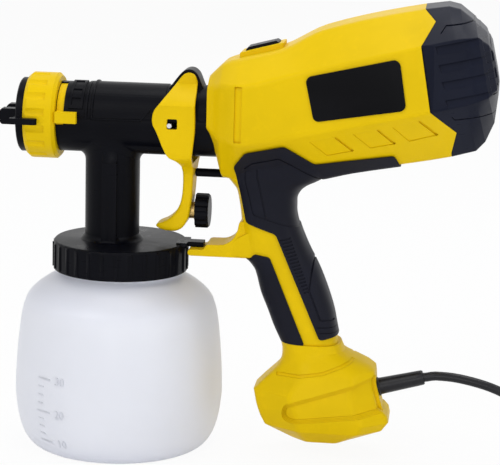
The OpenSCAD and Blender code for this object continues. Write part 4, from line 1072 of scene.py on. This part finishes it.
class SPRAYER_OT_head(bpy.types.Operator):
    """Add the gun head with its barrel, stem and screw lid"""
    bl_idname = "sprayer.head"
    bl_label = "Gun head"

    def execute(self, context):
        inner, outer = STEM_R + 0.05, 26
        rim = spun([(inner, 184.2), (outer, 184.2), (outer, 200), (inner, 200)], 72, closed=True)
        rim.transform(Matrix.Translation((STEM_X, 0, 0)))
        rim = cut(rim, rod_x(BARREL_R + 0.05, -60, 80, BARREL_Z))
        head = cut(node_shape("head_shell"), rim,
                   both(block((43.7, -12, 130.7), (60, -4.6, 134.6))))
        fin = plate(FIN, -7.8, 7.8, 3.0, 2.2, 5, 3)
        scale = cut(arc_band(-30.2, -21.3, 20, 90, 21.6, 23.0),
                    *[arc_band(-28.6, -23.0, low, high, 22.25, 24)
                      for low, high in ((25, 38), (41.5, 56), (59.5, 84))])
        bead = arc_band(-16.3, -14.7, 4, 176, 21.8, 23.5, 40)
        step = arc_band(-20.0, -18.4, 4, 176, 21.8, 22.5, 40)
        line = block((-16.3, -23.1, 212.0), (15.4, -21.4, 213.0), 0.3)
        slope = carve(plate(strip([(15, 212.5), (20.8, 219.3)], 1.0), -23.6, -18),
                      ("INTERSECT", arc_band(10, 24, 0, 40, 21, 23.1)))
        shape = merged(head, stem_fillet(), fin, scale, bevelled(bead, bead.edges[:], 0.5),
                       step, line, slope)
        piece("gun_head", shape, "head", ["head_shell"], "black_plastic", 25)
        return {"FINISHED"}


class SPRAYER_OT_nose(bpy.types.Operator):
    """Add the air cap, the ring nut, the pattern ring and the nozzle"""
    bl_idname = "sprayer.nose"
    bl_label = "Nose"

    def execute(self, context):
        carried([("air_horns", "air_cap", "air_cap", "black_plastic"),
                 ("nose_nut", "ring_nut", "ring_nut", "yellow_plastic"),
                 ("spray_ring", "pattern_ring", "pattern_ring", "yellow_plastic")], 0.35)
        carried([("nozzle", "fluid_nozzle", "head", "cast_aluminium")])
        return {"FINISHED"}


# The trigger from its tip to the pivot: front place, rear place, half width, edge radius
LEVER = [(23.5, 144.6, 23.6, 143.4, 6.5, 0.5), (25.4, 145.8, 25.8, 142.2, 8.2, 1.6),
         (28.7, 147.2, 29.9, 141.3, 9.6, 2.8), (32.2, 149.6, 34.6, 141.1, 10.2, 3.2),
         (35.2, 152.7, 38.9, 142.4, 10.5, 3.2), (37.9, 157.0, 42.4, 146.2, 10.5, 3.2),
         (39.4, 161.6, 44.7, 152.0, 10.5, 3.0), (40.2, 167.5, 45.8, 160, 10.5, 2.8),
         (40.4, 173, 46.6, 169, 10.5, 2.6), (40.4, 178, 46.9, 177, 11.2, 2.2),
         (40.0, 183.4, 47.3, 183, 15, 1.6), (38.9, 186.4, 47.45, 186.4, 20.4, 1.2),
         (36.9, 188.5, 47.6, 188.8, 23.6, 1.1), (33.6, 190.2, 47.65, 190.8, 25.0, 1.1),
         (31, 193.5, 47.9, 193.5, 25.3, 1.1), (24.9, 207.3, 49.3, 207.3, 25.3, 1.1),
         (23.1, 210.6, 49.4, 210.4, 25.3, 1.1), (22.65, 213.7, 49.4, 213.7, 25.3, 1.1),
         (22.95, 217, 49.3, 217, 25.3, 1.1), (24.0, 219.9, 49.2, 219.9, 25.3, 1.1),
         (26.25, 222.9, 49.1, 222.9, 25.3, 1.1), (35.6, 235.4, 48.6, 235.4, 10.6, 1.1),
         (38, 238.6, 47.6, 238.9, 10.6, 1.0), (40.4, 241.0, 46.2, 240.9, 10.6, 0.8),
         (42.6, 241.8, 44.0, 241.8, 10.6, 0.3)]


# The trigger's hollow, height and half width, and the window for the needle's pin
HOLLOW = ((186.1, 17.0), (190.5, 22.7), (222.9, 22.7), (235.4, 8.0), (246, 8.0))
WINDOW = [(32.05, 208.4), (38.45, 208.4), (38.45, 214.8), (32.05, 214.8)]
PIVOT_X, PIVOT_Z, PIVOT_R = 43, 236.4, 2.05


class SPRAYER_OT_trigger(bpy.types.Operator):
    """Add the trigger, its cross pin, the flow knob and rod, the switch pin and the button"""
    bl_idname = "sprayer.trigger"
    bl_label = "Trigger and knob"

    def execute(self, context):
        rings, at = [], [0.0]
        for fx, fz, rx, rz, half, soft in LEVER:
            corners = [Vector((fx, -half, fz)), Vector((rx, -half, rz)),
                       Vector((rx, half, rz)), Vector((fx, half, fz))]
            rings.append(curved(corners, soft, 5))
        for a, b in zip(LEVER, LEVER[1:]):
            step = Vector((b[0] + b[2] - a[0] - a[2], b[1] + b[3] - a[1] - a[3])).length / 2
            at.append(at[-1] + max(step, 0.3))
        hollow = [[Vector((x, y, z))
                   for x, y in ((0, -half), (60, -half), (60, half), (0, half))]
                  for z, half in HOLLOW]
        hole = [(PIVOT_X + PIVOT_R * math.cos(k * math.pi / 12),
                 PIVOT_Z + PIVOT_R * math.sin(k * math.pi / 12)) for k in range(24)]
        lever = cut(loft(through(rings, at, 3)), loft(hollow), plate(WINDOW, -40, 40, 1.0),
                    rod_x(5.35, 39.8, 60, STUD_Z, 40), plate(hole, -9.7, 40))
        piece("trigger_lever", lever, "trigger", ["trigger"], "yellow_plastic", 35)
        carried([("flow_wheel", "flow_knob", "flow_knob", "black_plastic"),
                 ("flow_rod", "flow_stud", "flow_stud", "brass_metal"),
                 ("trigger_pin", "cross_pin", "needle", "polished_steel"),
                 ("switch_pin", "switch_plunger", "switch_plunger", "black_plastic"),
                 ("latch_button", "release_button", "release_button", "black_plastic")])
        return {"FINISHED"}


# The slanted panels under the housing, the guard arm, the button's frame, the notch behind
# the trigger and the places of the screws
SLASHES = [[(-69.6, -18), (-53.5, -18), (-45.5, -29.8), (-61.6, -29.8)],
           [(-42.7, -18), (-27.5, -18), (-19.6, -30), (-34.8, -30)],
           [(-18.5, -18), (-2, -17), (6.5, -29), (-11, -30)]]
ARM = [(44.5, 126.6), (44.5, 130.7), (54.6, 130.7), (56, 134.2), (66.5, 134.4),
       (70.5, 136.2), (73.6, 139.2), (75.8, 144), (76.8, 150), (86, 150), (86, 126.6)]
FRAME_SIDE = [(74.5, 248), (74.5, 255.7), (101.5, 263), (101.5, 253)]
NOTCH = [(75.6, 204.6), (80, 204.6), (80, 238.6), (75.6, 238.6)]
SCREWS = fan_xz([(-18, 36.5), (-18, -37), (-92, -30)]) + [(72.3, 243), (101, 158),
                                                          (112, 118), (125, 84)]


def button_hole():
    """The shape of the release button's shaft."""
    return block((77.6, -7.9, 245), (98.4, 7.9, 270), 1.0)


class SPRAYER_OT_housing(bpy.types.Operator):
    """Add the motor housing with its guard arm and the button's frame"""
    bl_idname = "sprayer.housing"
    bl_label = "Housing"

    def execute(self, context):
        sizes = context.scene.sprayer_sizes
        crease = sizes.crease / MM
        rim = cut(plate(FRAME_SIDE, -11, 11, 1.0, 0.8), button_hole())
        grooves = [fan_xz(strip([panel[1], panel[2]], 1.5)) for panel in SLASHES]
        shell = carve(body_form(0, crease), *cuts(side_of_seam(True)), ("UNION", grip_form(0)),
                      *cuts(body_form(-WALL, crease), grip_form(-WALL), button_hole(),
                            sunk([fan_xz(panel) for panel in SLASHES], sizes.slash / MM,
                                 [body_form], radius=0.8),
                            sunk(grooves, 1.5, [body_form], radius=0.4),
                            sunk([NOTCH], 1.0, [body_form], radius=0.5),
                            rod_x(22.3, 40, 70, BARREL_Z, 72),
                            rod_x(2.8, 40, 120, PLUNGER_Z, 32)))
        skin = carve(body_form(-1, crease), ("UNION", grip_form(-1)))
        wells = carve(across(4.6, SCREWS, 9.5, 70), ("INTERSECT", skin),
                      *cuts(across(3.4, SCREWS, 10.9, 80)))
        shell = cut(shell, across(3.45, SCREWS, 12.3, 80, 26))
        root = hull([(x, y * side, z)
                     for x, y, top in ((71, 11.4, 135), (74, 12, 138.2), (90, 16.3, 147.5))
                     for z in (127.8, top) for side in (-1, 1)])
        shell = merged(shell, wells, rim, plate(ARM, -12, 12, 2.0, 1.2, segments=3), root)
        piece("housing_shell", shell, "housing", ["housing_near", "housing_far"],
              "yellow_plastic", 28)
        return {"FINISHED"}


# Outlines of the grip rubber and of what is sunk in it
REAR_PANEL = [(74, 187), (82, 197.5), (106, 203), (124, 190.5), (172.3, 197.5), (177, 188),
              (178, 150), (150, 79), (142.4, 79.5), (129.7, 77.2), (100.5, 144.2),
              (81.5, 150.5)]
FRONT_PANEL = [(60, 126.5), (83.5, 126.5), (87.4, 130.6), (97, 129.3), (120.2, 73.7),
               (90, 73.7), (60, 110)]
PALM_PANEL = [(81.1, 186.4), (85.7, 190.3), (102.2, 194.4), (126.1, 180.5), (140, 172),
              (140, 141), (118.4, 146.7), (102.9, 150.7), (86, 156.1), (80.8, 177.5)]
THUMB_LINE = [(88.7, 186), (88.7, 180.7), (94, 155)]
HEEL_BANDS = [[(128.0, 85.6), (146, 84.6)], [(129.6, 82.0), (146, 81.0)]]
HEEL_LINE = [(124.4, 133), (123, 117.6), (122.3, 109), (129.8, 90.1), (138, 89.5)]
KNURLS_TOP, KNURLS_END = Vector((106.4, 141.3)), Vector((120.8, 108.3))


class SPRAYER_OT_rubber(bpy.types.Operator):
    """Add the four rubber grip panels"""
    bl_idname = "sprayer.rubber"
    bl_label = "Grip rubber"

    def execute(self, context):
        sizes = context.scene.sprayer_sizes
        thick, deep = sizes.rubber / MM, sizes.recess / MM

        def over(outline, radius):
            """The outline's part of the rubber's outer form."""
            return carve(body_form(thick), ("UNION", grip_form(thick)),
                         ("INTERSECT", plate(outline, -60, -0.1, radius)))

        def sink(outline, depth, radius=0.0):
            """A cutter that goes 'depth' into the rubber's face."""
            return sunk([outline], depth - thick, [body_form, grip_form], -60, 0.5, radius)

        knurls = []
        for k in range(sizes.knurls):
            t = k / (sizes.knurls - 1)
            mid = KNURLS_TOP.lerp(KNURLS_END, t)
            half = Vector((3.2 - 1.6 * t, 0.8 - 0.3 * t))
            knurls.append(strip([tuple(mid - half), tuple(mid + half)], 1.0))
        rear = cut(over(REAR_PANEL, 2.0), body_form(0), grip_form(0),
                   sink(PALM_PANEL, deep, 1.5),
                   sink(strip(PALM_PANEL[:5], 0.9), deep * 1.9),
                   sink(strip(THUMB_LINE, 0.9), deep * 1.7),
                   sink(strip(HEEL_LINE, 1.0), deep),
                   merged(*[sink(strip(band, 0.6), deep * 0.7) for band in HEEL_BANDS]),
                   sunk(knurls, deep - thick, [grip_form], -60, 0.5))
        front = cut(over(FRONT_PANEL, 1.5), body_form(0), grip_form(0))
        for label, near in (("rear", rear), ("front", front)):
            far = cut(other_side(near), across(3.4, SCREWS[4:], 5, 80))
            for side, shape in (("near", near), ("far", far)):
                piece(f"{label}_rubber_{side}", shape, "housing", [f"grip_{label}_{side}"],
                      "grip_rubber", 35)
        return {"FINISHED"}


# The base, row by row: height, front, back and half width; its side recess, the groove
# round its neck and its screws
BASE_SIDE = [(11.5, 112, 150, 20), (19.5, 95.8, 170.8, 26.6), (25, 93, 174.7, 28),
             (29, 91.5, 173.8, 28), (33, 90.2, 170.2, 27.6), (42, 88.3, 167.6, 26.4),
             (48.5, 94.4, 165.8, 25), (53.7, 99.6, 165.5, 23.6), (57.5, 103, 165, 22.2),
             (60.5, 104.6, 161.5, 20.8), (63, 105.1, 156.5, 19.4), (66, 105.2, 149.5, 18.2),
             (68.5, 105.1, 145, 17.8), (73.5, 104, 142.7, 18)]
RECESS = [(108.5, 36), (113.5, 38.1), (168, 56), (182, 56), (182, 33.5), (113.5, 24.7),
          (107.5, 27)]
NECK_GROOVE = [(103, 53.4), (118, 54.6), (133, 57.2), (149, 63.6), (156, 68.5)]
BASE_SCREWS = [(117, 67.5), (130, 67.5)]


def base_form(g=0.0):
    """The base grown by g: eight flats with soft corners, rounder towards the neck."""
    rings = []
    for z, front, back, half in BASE_SIDE:
        front, back, half = front - g, back + g, half + g
        neck = min(max((z - 52) / 14, 0.0), 1.0)
        nose, tail = (back - front) * (0.30 - 0.06 * neck), (back - front) * 0.2
        corners = [(front, -half * 0.45), (front + nose, -half), (back - tail, -half),
                   (back, -half * 0.52)]
        corners += [(x, -y) for x, y in reversed(corners)]
        rings.append(curved([Vector((x, y, z - (g if z < 12 else 0))) for x, y in corners],
                            2.5 + 7 * neck, 5))
    return loft(rings)


def inset(outline, by):
    """A convex outline with every side moved inward."""
    points = [Vector(p) for p in outline]
    turn = sum(a.cross(b) for a, b in zip(points, points[1:] + points[:1]))
    out = []
    for i, p in enumerate(points):
        before, after = (p - points[i - 1]).normalized(), points[(i + 1) % len(points)] - p
        after.normalize()
        sides = [Vector((-d.y, d.x)) * math.copysign(1, turn) for d in (before, after)]
        out.append(tuple(p + (sides[0] + sides[1]) * by / (1 + sides[0].dot(sides[1]))))
    return out


class SPRAYER_OT_base(bpy.types.Operator):
    """Add the base with its side recesses"""
    bl_idname = "sprayer.base"
    bl_label = "Base"

    def execute(self, context):
        def sink(outline, depth, radius=0.0):
            """A cutter that goes 'depth' into both sides."""
            return cut(both(plate(outline, -60, -8, radius, steps=8)), base_form(-depth))

        hollow = cut(base_form(-WALL), block((80, -40, 62), (180, 40, 80)))
        recess = [sink(inset(RECESS, 0.75 * k), 0.6 * (k + 1), 5.0 - 0.75 * k)
                  for k in range(4)]
        shape = cut(base_form(), hollow, *recess, sink(strip(NECK_GROOVE, 2.0), 0.8),
                    across(3.4, BASE_SCREWS, 14.5, 40), on_relief(rod(4.65, -8, 24, 32)))
        piece("base", shape, "housing", ["base_foot"], "yellow_plastic", 22)
        return {"FINISHED"}


# Above the fan's axis: the tops of the louvres, and the top and bottom of each vent
LOUVRES = (25.2, 14.1, 3.8, -7.2)
VENTS = ((23.2, 17.0), (15.6, 9.3), (5.4, -0.8), (-4.4, -10.2))
# A flat on the cover's front edge, and fine lines on its upper and lower slope
FRONT_FLAT = ((4, 48.3, 28.4), (2.2, 48.3, -14.2), (15.2, 50.52, 26.6), (7.8, 50.48, -12.6))
COVER_LINES = ([(20, 31.3), (23.6, 34.8), (40.6, 33.1)],
               [(17.5, -18.3), (18.8, -20.8), (43.3, -23.1)])


class SPRAYER_OT_cover(bpy.types.Operator):
    """Add the rear cover with its louvres"""
    bl_idname = "sprayer.cover"
    bl_label = "Rear cover"

    def execute(self, context):
        deep = context.scene.sprayer_sizes.louvre / MM

        def slat(h, fall=5.4):
            """A cutter for one louvre, deepest at its top."""
            rings = []
            for s in (15.6, 33.5, 41, 46.3):
                half = between(COVER_ROWS, s)
                rings.append([fan(s + lean, y, k) for k, lean, y in
                              ((h, 0, -OUT), (h, 0, deep - half),
                               (h - fall, 0.9, -0.05 - half), (h - fall, 0.9, -OUT))])
            return loft(rings)

        front = hull([fan(s, y, h) for s, half, h in FRONT_FLAT for y in (-half, -OUT)])
        vents = [fan_xz([(43.2, top), (47.7, top), (47.7, low), (43.2, low)])
                 for top, low in VENTS]
        notch = fan_xz([(39.8, 37.4), (43.4, 33.6), (44.6, 28.8), (41.4, 29.6)])
        lines = [sunk([fan_xz(strip(line, 0.6))], 0.65, [cover_form]) for line in COVER_LINES]
        shape = cut(cover_form(0), side_of_seam(False, 0.15), cover_form(-WALL, last=46.5),
                    both(front), both(merged(*[slat(h) for h in LOUVRES])), *lines,
                    sunk([notch], 0.8, [cover_form], radius=0.5),
                    sunk(vents, 0.9, [cover_form], radius=0.6))
        piece("rear_cap", shape, "rear_cover", ["rear_cover"], "navy_plastic", 14)
        return {"FINISHED"}


BADGE = [(120.3, 247.1), (171.6, 259.5), (174.5, 257.4), (178.8, 231.7), (176.9, 229.1),
         (126.2, 220.1), (123.7, 221.6), (118.6, 244.3)]


class SPRAYER_OT_badges(bpy.types.Operator):
    """Add the bare gloss badge on each side"""
    bl_idname = "sprayer.badges"
    bl_label = "Badges"

    def execute(self, context):
        thick = context.scene.sprayer_sizes.badge / MM
        near = carve(body_form(thick), ("INTERSECT", plate(BADGE, -60, -20, 1.6)),
                     *cuts(body_form(0)))
        for side, shape in (("near", near), ("far", other_side(near))):
            piece(f"badge_plate_{side}", shape, "housing", [f"badge_{side}"], "badge_black", 35)
        return {"FINISHED"}


class SPRAYER_OT_works(bpy.types.Operator):
    """Finish the carried-over parts inside the sprayer"""
    bl_idname = "sprayer.works"
    bl_label = "Inner works"

    def execute(self, context):
        for part in frame["record"]["subparts"]:
            obj = frame["nodes"].get(part["node"])
            if obj is None or obj.type != "MESH":
                continue
            for place in obj.material_slots:
                place.material = FINISHES[part["material_slot"]]
        return {"FINISHED"}


class SPRAYER_PT_panel(bpy.types.Panel):
    """Lists the sprayer's pieces, sizes and colours"""
    bl_label = "Paint sprayer"
    bl_idname = "SPRAYER_PT_panel"
    bl_space_type = "VIEW_3D"
    bl_region_type = "UI"
    bl_category = "Sprayer"

    def draw(self, context):
        for group in (context.scene.sprayer_sizes, context.scene.sprayer_colours):
            for key in group.__annotations__:
                self.layout.prop(group, key)
        for kind in OPERATORS:
            self.layout.operator(kind.bl_idname)


OPERATORS = (SPRAYER_OT_stage, SPRAYER_OT_cord, SPRAYER_OT_cup, SPRAYER_OT_head,
             SPRAYER_OT_nose, SPRAYER_OT_trigger, SPRAYER_OT_housing, SPRAYER_OT_rubber,
             SPRAYER_OT_base, SPRAYER_OT_cover, SPRAYER_OT_badges, SPRAYER_OT_works)
CLASSES = (SprayerSizes, SprayerColours) + OPERATORS + (SPRAYER_PT_panel,)


def register():
    """Adds the classes and the scene's groups."""
    for kind in CLASSES:
        bpy.utils.register_class(kind)
    bpy.types.Scene.sprayer_sizes = PointerProperty(type=SprayerSizes)
    bpy.types.Scene.sprayer_colours = PointerProperty(type=SprayerColours)


def unregister():
    """Takes them away again."""
    del bpy.types.Scene.sprayer_colours
    del bpy.types.Scene.sprayer_sizes
    for kind in reversed(CLASSES):
        bpy.utils.unregister_class(kind)


def main():
    """Makes every piece."""
    register()
    make_finishes()
    for kind in OPERATORS:
        group, name = kind.bl_idname.split(".")
        getattr(getattr(bpy.ops, group), name)()


if __name__ == "__main__":
    main()
